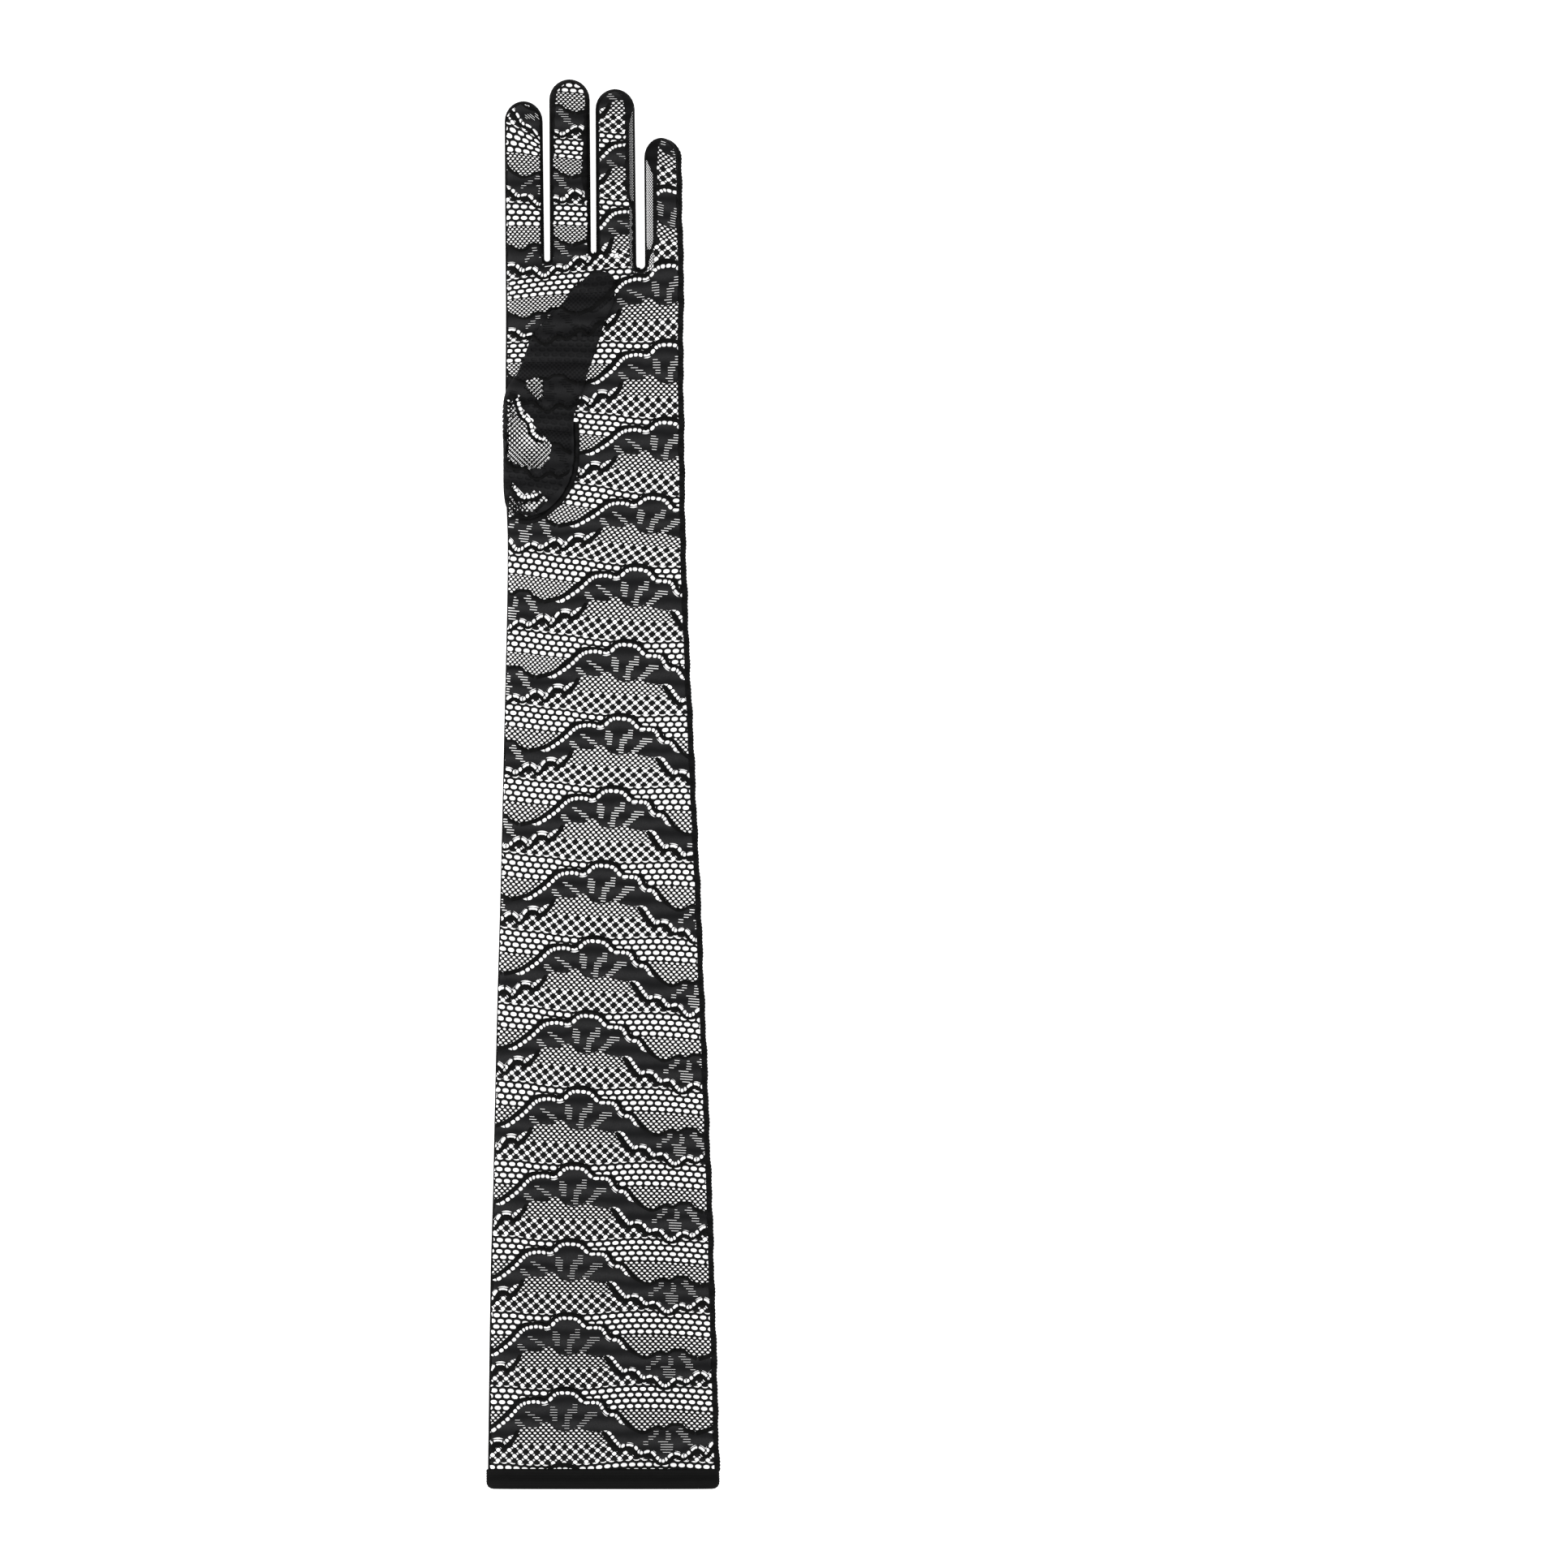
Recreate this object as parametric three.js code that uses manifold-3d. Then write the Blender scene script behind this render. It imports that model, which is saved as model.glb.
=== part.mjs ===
// Lace opera glove for the left hand, lying palm up with its thumb folded over the palm.
// Millimetres, +Z up, +Y towards the fingertips, +X towards the little finger.
// The origin is on the surface that the glove lies on, under the middle of its outline.
import * as THREE from "three";
import { mergeVertices } from "three/addons/utils/BufferGeometryUtils.js";
import Module from "manifold-3d";

const wasm = await Module();
wasm.setup();

// Driving dimensions
const WALL = 1.0; // lace with its raised motifs
const GAP = 0.3; // clearance between pieces that are sewn together
const CROWN_POWER = 2.5; // superellipse power of the upper half of a section
const WAIST_SHARE = 0.45; // height of a section's widest line, as a share of its height

const HEM = { low: -312.1, high: -302, tuck: 6, wall: 1.2, corner: 3 };
const SEAM = { wide: 1.5, high: 2.4, chamfer: 0.5, start: -301, end: 276 };
const THUMB_SEAM = { wide: 2.2, high: 1.2, shoulder: 0.45, steps: 18 };
const THUMB_HOLE = { x: -28.5, y: 146, halfWide: 11, halfLong: 19 };
const FORK_STRIP = { low: 1.6, high: 5.6, depth: 3.2, belowCrotch: 4, belowTip: 8 };
const BELOW_ALL = -5; // under every section, for cutters that pass right through
const MID_HEIGHT = 6; // between the lower and the upper layer
const ABOVE_ALL = 30; // over every section
const OVERRUN = 5; // how far a cutter runs past an open end

// Makes rows with named columns from short lists.
function table(columns, rows) {
  return rows.map((row) => Object.fromEntries(columns.map((name, i) => [name, row[i]])));
}

// The sleeve and hand from the hem to the knuckles: outline and height of each section.
const SLEEVE = table(
  ["y", "left", "right", "base", "top"],
  [
    [-308, -50.3, 50.3, 1.5, 8.6],
    [-300, -50.3, 49.9, 1.5, 8.8],
    [-275, -50.0, 49.1, 0.3, 9.8],
    [-240, -49.6, 48.2, 0, 10.4],
    [-180, -48.6, 46.4, 0, 10.6],
    [-110, -47.1, 43.8, 0, 10.6],
    [-40, -45.2, 41.0, 0, 10.4],
    [30, -43.6, 37.8, 0, 9.9],
    [90, -42.3, 35.3, 0, 9.3],
    [125, -42.4, 34.6, 0, 9.0],
    [165, -42.8, 34.0, 0, 9.0],
    [205, -42.6, 33.9, 0, 8.6],
    [222, -42.7, 34.0, 0, 7.8],
    [232, -42.8, 34.0, 0, 6.2],
    [238, -42.8, 34.0, 0, 4.4],
  ],
);

// The finger stalls: edges at the crotch and at the tip, tip, root inside the hand, and heights.
const FINGERS = table(
  ["name", "left", "right", "leftAtTip", "rightAtTip", "root", "tip", "topAtRoot", "topAtTip"],
  [
    ["index", -42.8, -26.4, -43.2, -27.3, 214, 302.4, 7.4, 6.9],
    ["middle", -23.0, -5.7, -23.4, -6.4, 212, 312.1, 7.6, 7.0],
    ["ring", -2.5, 14.4, -2.9, 13.5, 212, 307.8, 7.5, 6.9],
    ["little", 19.1, 33.8, 18.7, 32.9, 210, 286.2, 7.2, 6.7],
  ],
);
const KNUCKLES = 230;
const TIP_LENGTH = 9;
const TIP_THINNING = 0.55; // how much thinner a stall is at its very tip, as a share of its height
const ROOT_INSET = 1.6; // how far a finger's root is drawn in, so that it starts inside the hand

// The forked side strips between the fingers. overLeft and overRight are how far a strip reaches
// over the upper side of the finger at its left and at its right.
const FORKS = table(
  ["name", "left", "right", "crotch", "overLeft", "overRight"],
  [
    ["index_middle", "index", "middle", 230.8, 0, 0],
    ["middle_ring", "middle", "ring", 234.4, 0, 0],
    ["ring_little", "ring", "little", 227.5, 2.9, 3.3],
  ],
);

// The thumb stall: its base is sewn round a hole in the palm, and from y = 175 on it lies on the palm.
const THUMB = table(
  ["y", "left", "right", "low", "high", "lies"],
  [
    [118.4, -38.5, -31.0, 5.0, 9.0, 0],
    [121.5, -41.6, -24.4, 4.5, 9.8, 0],
    [128, -43.1, -19.0, 4.0, 10.9, 0],
    [137, -43.5, -14.8, 4.0, 12.0, 0],
    [148, -43.8, -12.7, 4.0, 12.9, 0],
    [160, -43.8, -12.5, 4.4, 13.6, 0],
    [168, -43.4, -11.2, 5.8, 14.1, 0.3],
    [175.3, -42.0, -8.6, 9.3, 14.8, 1],
    [183, -37.4, -6.0, 9.3, 15.2, 1],
    [191, -34.2, -3.4, 9.3, 15.4, 1],
    [198.5, -30.4, -0.7, 9.2, 15.4, 1],
    [205, -25.0, 2.0, 9.1, 15.3, 1],
    [211, -18.2, 4.0, 9.0, 15.2, 1],
    [217, -12.2, 5.3, 8.8, 14.9, 1],
    [221.5, -8.8, 5.3, 8.6, 14.2, 1],
    [225, -5.4, 3.8, 8.5, 13.0, 1],
    [227, -2.8, 1.4, 8.4, 11.4, 1],
  ],
);

// Smooth value of one column of a table at y, by Catmull-Rom between its rows.
function columnAt(rows, name, y) {
  const last = rows.length - 1;
  let i = 0;
  while (i < last - 1 && y > rows[i + 1].y) i++;
  const near = [i - 1, i, i + 1, i + 2].map((k) => rows[Math.min(Math.max(k, 0), last)]);
  const span = near[2].y - near[1].y;
  const t = Math.min(Math.max((y - near[1].y) / span, 0), 1);
  const slope = (a, b) => (b.y === a.y ? 0 : ((b[name] - a[name]) / (b.y - a.y)) * span);
  const m1 = slope(near[0], near[2]);
  const m2 = slope(near[1], near[3]);
  const step = near[2][name] - near[1][name];
  return near[1][name] + t * (m1 + t * (3 * step - 2 * m1 - m2 + t * (m1 + m2 - 2 * step)));
}

function rowAt(rows, y) {
  const made = { y };
  for (const name of Object.keys(rows[0])) if (name !== "y") made[name] = columnAt(rows, name, y);
  return made;
}

// A section's outline: a crowned upper half, rounded lower corners and a flat underside.
function sectionRing(row, crownSteps, cornerSteps, lift = () => 0) {
  const { y, left, right, base, top } = row;
  const middle = (left + right) / 2;
  const half = (right - left) / 2;
  const waist = base + (top - base) * WAIST_SHARE;
  const corner = Math.min(waist - base, half * 0.8);
  const ring = [];
  for (let i = 0; i < crownSteps; i++) {
    const angle = (Math.PI * i) / crownSteps;
    const across = Math.sign(Math.cos(angle)) * Math.abs(Math.cos(angle)) ** (2 / CROWN_POWER);
    const up = Math.sin(angle) ** (2 / CROWN_POWER);
    ring.push([middle + half * across, waist + (top - waist) * up]);
  }
  for (let i = 0; i <= cornerSteps; i++) {
    const angle = (Math.PI / 2) * (i / cornerSteps);
    ring.push([left + corner * (1 - Math.cos(angle)), waist - (waist - base) * Math.sin(angle)]);
  }
  for (let i = cornerSteps; i > 0; i--) {
    const angle = (Math.PI / 2) * (i / cornerSteps);
    ring.push([right - corner * (1 - Math.cos(angle)), waist - (waist - base) * Math.sin(angle)]);
  }
  return ring.map(([x, z]) => [x, y, z + lift(x, y)]);
}

// A closed body through rings of equally many points, each end closed by a fan.
function loft(rings) {
  const points = rings.flat();
  const n = rings[0].length;
  const faces = [];
  for (let k = 0; k + 1 < rings.length; k++)
    for (let i = 0; i < n; i++) {
      const [a, b] = [k * n + i, k * n + ((i + 1) % n)];
      faces.push(a, b, b + n, a, b + n, a + n);
    }
  for (const end of [0, rings.length - 1]) {
    const ring = rings[end];
    points.push([0, 1, 2].map((axis) => ring.reduce((sum, p) => sum + p[axis], 0) / n));
    for (let i = 0; i < n; i++) {
      const [a, b] = [end * n + i, end * n + ((i + 1) % n)];
      faces.push(...(end ? [a, b, points.length - 1] : [b, a, points.length - 1]));
    }
  }
  const geometry = new THREE.BufferGeometry();
  geometry.setAttribute("position", new THREE.Float32BufferAttribute(points.flat(), 3));
  geometry.setIndex(faces);
  return solidFrom(geometry);
}

function solidFrom(geometry) {
  const bare = geometry.clone();
  bare.deleteAttribute("normal");
  bare.deleteAttribute("uv");
  const merged = mergeVertices(bare, 1e-4);
  const triVerts = new Uint32Array(merged.index.array);
  const vertProperties = merged.attributes.position.array;
  const solid = new wasm.Manifold(new wasm.Mesh({ numProp: 3, vertProperties, triVerts }));
  if (solid.volume() > 0) return solid;
  for (let i = 0; i < triVerts.length; i += 3)
    [triVerts[i + 1], triVerts[i + 2]] = [triVerts[i + 2], triVerts[i + 1]];
  return new wasm.Manifold(new wasm.Mesh({ numProp: 3, vertProperties, triVerts }));
}

// An upright prism over a flat outline.
function prism(shape, low, high, curveSegments = 8) {
  const geometry = new THREE.ExtrudeGeometry(shape, {
    depth: high - low,
    bevelEnabled: false,
    curveSegments,
  });
  return solidFrom(geometry.translate(0, 0, low));
}

function polygon(points) {
  return new THREE.Shape(points.map(([x, y]) => new THREE.Vector2(x, y)));
}

function inset(row, by) {
  return { y: row.y, left: row.left + by, right: row.right - by, base: row.base + by, top: row.top - by };
}

// The sleeve and hand, grown or shrunk by an inset, between two ends.
function sleeveBody(by, from, to) {
  const stations = SLEEVE.map((row) => row.y).filter((y) => y > from + 1 && y < to - 1);
  const rings = [from, ...stations, to].map((y) =>
    sectionRing(inset(rowAt(SLEEVE, y), by), 12, 3),
  );
  return loft(rings);
}

function fingerEdge(finger, side, y) {
  const share = (y - KNUCKLES) / (finger.tip - KNUCKLES);
  return finger[side] + (finger[side + "AtTip"] - finger[side]) * share;
}

// One finger stall: a flat tube that closes in an elliptic tip.
function fingerBody(finger, by) {
  const tipStart = finger.tip - TIP_LENGTH;
  const stations = [finger.root, KNUCKLES, (KNUCKLES + tipStart) / 2, tipStart].map((y) => [y, 0]);
  const tipLength = TIP_LENGTH - by;
  for (const degrees of [25, 45, 63, 78, 87]) {
    const angle = THREE.MathUtils.degToRad(degrees);
    stations.push([tipStart + tipLength * Math.sin(angle), angle]);
  }
  const rings = stations.map(([y, angle]) => {
    const share = (y - finger.root) / (finger.tip - finger.root);
    const drawnIn = y === finger.root ? ROOT_INSET : 0;
    const left = fingerEdge(finger, "left", y) + by + drawnIn;
    const right = fingerEdge(finger, "right", y) - by - drawnIn;
    const middle = (left + right) / 2;
    const half = ((right - left) / 2) * Math.cos(angle);
    const height = finger.topAtRoot + (finger.topAtTip - finger.topAtRoot) * share - 2 * by;
    const flat = 1 - TIP_THINNING * (1 - Math.cos(angle));
    const rise = ((1 - flat) * height) / 3;
    const row = { y, left: middle - half, right: middle + half, base: by + rise + drawnIn / 4 };
    return sectionRing({ ...row, top: row.base + height * flat - drawnIn }, 8, 2);
  });
  return loft(rings);
}

function fingerNamed(name) {
  return FINGERS.find((finger) => finger.name === name);
}

// The slot between two fingers, with a round bottom at the crotch.
function crotchSlot(fork, by) {
  const high = KNUCKLES + 16;
  const [a, b] = [fingerNamed(fork.left), fingerNamed(fork.right)];
  const left = fingerEdge(a, "right", fork.crotch) - by;
  const right = fingerEdge(b, "left", fork.crotch) + by;
  const radius = (right - left) / 2;
  const centre = fork.crotch + (radius - by);
  const shape = new THREE.Shape();
  shape.moveTo(left, high);
  shape.lineTo(left, centre);
  shape.absarc((left + right) / 2, centre, radius, Math.PI, 2 * Math.PI, false);
  shape.lineTo(right, high);
  return prism(shape, BELOW_ALL, ABOVE_ALL, 6);
}

// The whole closed glove form, without its thumb, shrunk by an inset.
function gloveBody(by, from) {
  let body = sleeveBody(by, from, SLEEVE.at(-1).y - by);
  for (const fork of FORKS) body = body.subtract(crotchSlot(fork, by));
  for (const finger of FINGERS) body = body.add(fingerBody(finger, by));
  return body;
}

// Height of the palm's outer surface over a point.
function palmTop(x, y) {
  const row = rowAt(SLEEVE, y);
  const waist = row.base + (row.top - row.base) * WAIST_SHARE;
  const half = (row.right - row.left) / 2;
  const across = Math.min(Math.abs(x - (row.left + row.right) / 2) / half, 0.999);
  return waist + (row.top - waist) * (1 - across ** CROWN_POWER) ** (1 / CROWN_POWER);
}

// The thumb stall's form. Where it lies on the palm, its sections follow the palm's crown.
function thumbBody(by) {
  const rings = THUMB.map((row, i) => {
    const atEnd = i === 0 ? by : i === THUMB.length - 1 ? -by : 0;
    const y = row.y + atEnd;
    const peak = rowAt(SLEEVE, y).top;
    const drape = (x) => row.lies * (palmTop(x, y) - peak);
    const half = Math.max((row.right - row.left) / 2 - by, 0.8);
    const middle = (row.left + row.right) / 2;
    const outline = { y, left: middle - half, right: middle + half };
    return sectionRing({ ...outline, base: row.low + by, top: row.high - by }, 10, 2, drape);
  });
  return loft(rings);
}

// The two arms and the crotch of one forked strip, as a cutter grown by an amount.
function forkCutter(fork, grow) {
  const [a, b] = [fingerNamed(fork.left), fingerNamed(fork.right)];
  const low = fork.crotch - FORK_STRIP.belowCrotch - grow;
  const [highA, highB] = [a.tip, b.tip].map((tip) => tip - FORK_STRIP.belowTip + grow);
  const sideA = (y, reach) => [fingerEdge(a, "right", y) - reach, y];
  const sideB = (y, reach) => [fingerEdge(b, "left", y) + reach, y];
  const middle = (sideA(low, 0)[0] + sideB(low, 0)[0]) / 2;
  const arm = (side, high, reach, from) =>
    polygon([side(from, reach), side(high, reach), [middle, high], [middle, from]]);
  const deep = FORK_STRIP.depth + grow;
  const [bottom, top] = [FORK_STRIP.low - grow, FORK_STRIP.high + grow];
  let cutter = prism(arm(sideA, highA, deep, low), bottom, top);
  cutter = cutter.add(prism(arm(sideB, highB, deep, low), bottom, top));
  const from = fork.crotch - grow;
  if (fork.overLeft)
    cutter = cutter.add(
      prism(arm(sideA, highA, fork.overLeft + grow, from), bottom, ABOVE_ALL),
    );
  if (fork.overRight)
    cutter = cutter.add(
      prism(arm(sideB, highB, fork.overRight + grow, from), bottom, ABOVE_ALL),
    );
  return cutter;
}

// The long sleeve and hand of lace, cut in one piece and hollow, with its thumb hole.
function laceTrank(shell) {
  const hole = new THREE.Shape();
  hole.absellipse(THUMB_HOLE.x, THUMB_HOLE.y, THUMB_HOLE.halfWide, THUMB_HOLE.halfLong, 0, 2 * Math.PI);
  let trank = shell.subtract(prism(hole, MID_HEIGHT, ABOVE_ALL));
  for (const fork of FORKS) trank = trank.subtract(forkCutter(fork, GAP / 2));
  return trank;
}

function fourchette(shell, fork) {
  return shell.intersect(forkCutter(fork, -GAP / 2));
}

// The thumb stall of lace, open underneath where it is sewn round the thumb hole.
function thumbStall() {
  const palm = sleeveBody(-GAP, 100, 236);
  return thumbBody(0).subtract(thumbBody(WALL)).subtract(palm);
}

// The folded band round the opening, with the sleeve's end tucked inside it.
function hemBand() {
  const stations = [0, 0.35, 1].map((share) => [HEM.low + share * HEM.corner, (1 - share) ** 2]);
  stations.push([HEM.high - 0.8, 0], [HEM.high, 0.12]);
  const outer = loft(
    stations.map(([y, round]) => {
      const row = inset(rowAt(SLEEVE, Math.max(y, SLEEVE[0].y)), -GAP - HEM.wall);
      const ends = { left: row.left + round * HEM.corner, right: row.right - round * HEM.corner };
      return sectionRing({ ...row, ...ends, y }, 12, 3);
    }),
  );
  const tubeThrough = (by, from, to) =>
    loft([from, to].map((y) => sectionRing({ ...inset(SLEEVE[0], by), y }, 12, 3)));
  const pocket = sleeveBody(-GAP, HEM.high - HEM.tuck - GAP, HEM.high + OVERRUN);
  return outer.subtract(tubeThrough(WALL, HEM.low - OVERRUN, HEM.high - 2)).subtract(pocket);
}

// The outside edge of the sleeve, hand and little finger, where the lace is closed.
function sideSeam() {
  const little = fingerNamed("little");
  const stations = SLEEVE.map((row) => row.y).filter((y) => y > SEAM.start && y < KNUCKLES - 8);
  const tipStart = little.tip - TIP_LENGTH;
  const rings = [SEAM.start, ...stations, KNUCKLES, (KNUCKLES + tipStart) / 2, SEAM.end].map((y) => {
    const sleeve = rowAt(SLEEVE, Math.min(y, KNUCKLES));
    const onFinger = y > KNUCKLES - 1;
    const edge = onFinger ? fingerEdge(little, "right", y) : sleeve.right;
    const top = onFinger ? little.topAtRoot : sleeve.top;
    const centre = sleeve.base + (top - sleeve.base) * WAIST_SHARE;
    const [near, far] = [edge + GAP, edge + GAP + SEAM.wide];
    const [low, high] = [centre - SEAM.high / 2, centre + SEAM.high / 2];
    return [
      [near, y, low],
      [far, y, low + SEAM.chamfer],
      [far, y, high - SEAM.chamfer],
      [near, y, high],
    ];
  });
  return loft(rings);
}

// The ridge round the thumb's base, from its crotch round to the folded edge of the palm.
function thumbSeam() {
  const right = THUMB.filter((row) => row.y > 119 && row.y < 167).map((row) => [row.right, row.y]);
  const path = new THREE.CatmullRomCurve3(
    [...right.reverse(), [-31, 117.6], [-37.5, 117.5]].map(([x, y]) => new THREE.Vector3(x, y, 0)),
  );
  const rings = [];
  for (let i = 0; i <= THUMB_SEAM.steps; i++) {
    const at = path.getPoint(i / THUMB_SEAM.steps);
    const along = path.getTangent(i / THUMB_SEAM.steps);
    const out = new THREE.Vector3(-along.y, along.x, 0).negate();
    if (out.dot(new THREE.Vector3(at.x - THUMB_HOLE.x, at.y - THUMB_HOLE.y, 0)) < 0) out.negate();
    const corner = (far, up) => {
      const p = at.clone().addScaledVector(out, GAP + far);
      return [p.x, p.y, palmTop(p.x, p.y) + GAP + up];
    };
    rings.push([
      corner(0, 0),
      corner(THUMB_SEAM.wide, 0),
      corner(THUMB_SEAM.wide - THUMB_SEAM.shoulder, THUMB_SEAM.high),
      corner(THUMB_SEAM.shoulder, THUMB_SEAM.high),
    ]);
  }
  return loft(rings);
}

const LACE = { color: 0x161616, roughness: 0.85 };
const TULLE = { color: 0x3a3a3a, roughness: 0.9 };
const SATIN = { color: 0x1a1a1a, roughness: 0.55 };
const THREAD = { color: 0x0f0f0f, roughness: 0.75 };

const group = new THREE.Group();

function piece(name, solid, finish) {
  const { vertProperties, triVerts } = solid.getMesh();
  const geometry = new THREE.BufferGeometry();
  geometry.setAttribute("position", new THREE.BufferAttribute(vertProperties, 3));
  geometry.setIndex(new THREE.BufferAttribute(triVerts, 1));
  geometry.computeVertexNormals();
  const material = new THREE.MeshStandardMaterial({ metalness: 0, ...finish });
  const mesh = new THREE.Mesh(geometry, material);
  mesh.name = name;
  group.add(mesh);
}

const sleeveEnd = HEM.high - HEM.tuck;
const shell = gloveBody(0, sleeveEnd).subtract(gloveBody(WALL, sleeveEnd - OVERRUN));

piece("lace_trank", laceTrank(shell), LACE);
piece("thumb_stall", thumbStall(), LACE);
for (const fork of FORKS) piece("fourchette_" + fork.name, fourchette(shell, fork), TULLE);
piece("hem_band", hemBand(), SATIN);
piece("side_seam", sideSeam(), THREAD);
piece("thumb_seam", thumbSeam(), THREAD);

export default group;
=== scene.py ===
# %% [markdown]
# A long black lace glove
#
# The real thing is a left-hand opera glove, 62 cm long. One piece of stretch lace is folded round the
# arm and sewn along the little finger's side. The thumb is a stall of its own, and the fingers are joined
# by forked strips of sheer tulle. It lies palm up on a white table.
#
# Lace is mostly holes, so a picture of it on a flat sheet would look wrong from the side and against the
# light. Here every hole is a real hole: one repeat of the lace is drawn as a chart, laid over the whole
# glove by loops, cut to the outline and then lifted onto the round surface of the sleeve and fingers.

# %% Load the frame
import math

import bpy
import numpy as np
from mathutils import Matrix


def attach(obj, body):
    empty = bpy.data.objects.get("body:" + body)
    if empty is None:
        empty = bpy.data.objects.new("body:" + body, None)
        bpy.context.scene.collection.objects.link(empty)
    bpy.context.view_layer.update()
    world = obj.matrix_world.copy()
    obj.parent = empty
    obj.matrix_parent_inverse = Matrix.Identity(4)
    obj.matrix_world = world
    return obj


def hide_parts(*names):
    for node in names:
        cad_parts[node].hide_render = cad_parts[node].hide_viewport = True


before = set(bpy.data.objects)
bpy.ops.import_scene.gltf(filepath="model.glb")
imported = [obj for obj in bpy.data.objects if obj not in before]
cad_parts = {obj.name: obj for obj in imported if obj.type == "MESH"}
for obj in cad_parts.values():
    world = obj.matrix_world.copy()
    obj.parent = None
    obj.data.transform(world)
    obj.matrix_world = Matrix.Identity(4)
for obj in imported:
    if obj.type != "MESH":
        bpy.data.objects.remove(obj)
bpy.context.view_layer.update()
MM = 0.001

# %% [markdown]
# The glove's form
#
# A soft tube that lies on a table has a flat underside, rounded sides and a low crown. Three small tables
# give the sections of the sleeve, the fingers and the thumb in millimetres: the left and right edge, the
# lowest and highest point, and for the thumb whether it lies on the palm, from 0 to 1. A cloth simulation
# could drape a glove too, but its outline would drift from the real one, and the tables hold it. The sleeve
# and the fingers have the frame's own sections. The thumb's edges were drawn a little closer to the real
# ones. Between two rows the values follow a smooth curve, as cloth does.


# %% Sections of the sleeve
def table(columns, rows):
    return {name: np.array([row[i] for row in rows]) for i, name in enumerate(columns)}


SLEEVE = table(
    ["y", "left", "right", "base", "top"],
    [
        (-308, -50.3, 50.3, 1.5, 8.6),
        (-300, -50.3, 49.9, 1.5, 8.8),
        (-275, -50.0, 49.1, 0.3, 9.8),
        (-240, -49.6, 48.2, 0, 10.4),
        (-180, -48.6, 46.4, 0, 10.6),
        (-110, -47.1, 43.8, 0, 10.6),
        (-40, -45.2, 41.0, 0, 10.4),
        (30, -43.6, 37.8, 0, 9.9),
        (90, -42.3, 35.3, 0, 9.3),
        (125, -42.4, 34.6, 0, 9.0),
        (165, -42.8, 34.0, 0, 9.0),
        (205, -42.6, 33.9, 0, 8.6),
        (222, -42.7, 34.0, 0, 7.8),
        (232, -42.8, 34.0, 0, 6.2),
        (238, -42.8, 34.0, 0, 4.4),
    ],
)
print("width of the lace at the hem in mm:", float(SLEEVE["right"][0] - SLEEVE["left"][0]))

# %% [markdown]
# The fingers' sections
#
# A finger stall is nearly straight, so one row for each finger is enough, from the index to the little one:
# its edges at the knuckles and at the tip, where it begins and ends, and its heights.

# %% Sections of the fingers
FINGERS = table(
    ["left", "right", "left_at_tip", "right_at_tip", "root", "tip", "top_at_root", "top_at_tip"],
    [
        (-42.8, -26.4, -43.2, -27.3, 214, 302.4, 7.4, 6.9),
        (-23.0, -5.7, -23.4, -6.4, 212, 312.1, 7.6, 7.0),
        (-2.5, 14.4, -2.9, 13.5, 212, 307.8, 7.5, 6.9),
        (19.1, 33.8, 18.7, 32.9, 210, 286.2, 7.2, 6.7),
    ],
)
print("fingertips at y in mm:", FINGERS["tip"])

# %% [markdown]
# The thumb's sections
#
# The thumb comes out of the palm, bends over and lies on it. Its outline turns more often than the sleeve's,
# so its table has more rows, and they lie closest together towards the tip.

# %% Sections of the thumb
THUMB = table(
    ["y", "left", "right", "low", "high", "lies"],
    [
        (118.4, -38.5, -31.0, 5.0, 9.0, 0),
        (121.5, -42.4, -24.4, 4.5, 9.8, 0),
        (128, -43.9, -18.2, 4.0, 10.9, 0),
        (137, -44.2, -13.9, 4.0, 12.0, 0),
        (148, -44.2, -12.8, 4.0, 12.9, 0),
        (160, -44.6, -13.0, 4.4, 13.6, 0),
        (168, -44.3, -11.2, 5.8, 14.1, 0.3),
        (175.3, -42.4, -8.6, 9.3, 14.8, 1),
        (183, -37.4, -6.0, 9.3, 15.2, 1),
        (191, -34.2, -3.4, 9.3, 15.4, 1),
        (198.5, -31.0, -0.9, 9.2, 15.4, 1),
        (205, -25.4, 1.0, 9.1, 15.3, 1),
        (208, -22.4, 2.5, 9.1, 15.2, 1),
        (211, -19.2, 3.8, 9.0, 15.2, 1),
        (214, -17.0, 4.9, 8.9, 15.1, 1),
        (217, -15.3, 5.4, 8.8, 14.9, 1),
        (221.5, -10.9, 5.6, 8.6, 14.2, 1),
        (225, -6.8, 4.2, 8.5, 13.0, 1),
        (227, -4.0, 1.6, 8.4, 11.4, 1),
    ],
)
print("thumb from", THUMB["y"][0], "to", THUMB["y"][-1], "mm")

# %% [markdown]
# Tips, waist and corners
#
# Some things are the same in every section: how a fingertip closes, how full the shoulders are, and how far
# the cloth stays clear of the table. They are single values, so that the tables stay small.

# %% Rounding of tips and sections
# The fingers begin at the knuckles. A tip is rounded over its length, and there it also loses some of its
# thickness. The thumb's tip closes over a shorter length, and the palm's cords need room below the thumb.
KNUCKLES = 230.0
TIP_LENGTH = 9.0
TIP_THINNING = 0.55
THUMB_TIP_ROUNDING = 2.5
CORDS_BELOW_THUMB = 1.35
CROTCHES = {"x": np.array([-24.7, -4.1, 16.7]), "y": np.array([230.8, 234.4, 227.5])}

# A section is widest at its waist, a share of its height. A power of 2 would make its crown an ellipse,
# and more gives it fuller shoulders. Below the waist, a corner takes at most a share of half the width.
WAIST_SHARE = 0.45
CROWN_POWER = 2.5
CORNER_SHARE = 0.8

# The lowest threads lie a hair above the table. Where there is no cloth, its height counts as very high.
ABOVE_TABLE = 0.02
NO_CLOTH = 99.0
print("crotches between the fingers at y in mm:", CROTCHES["y"])

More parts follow.
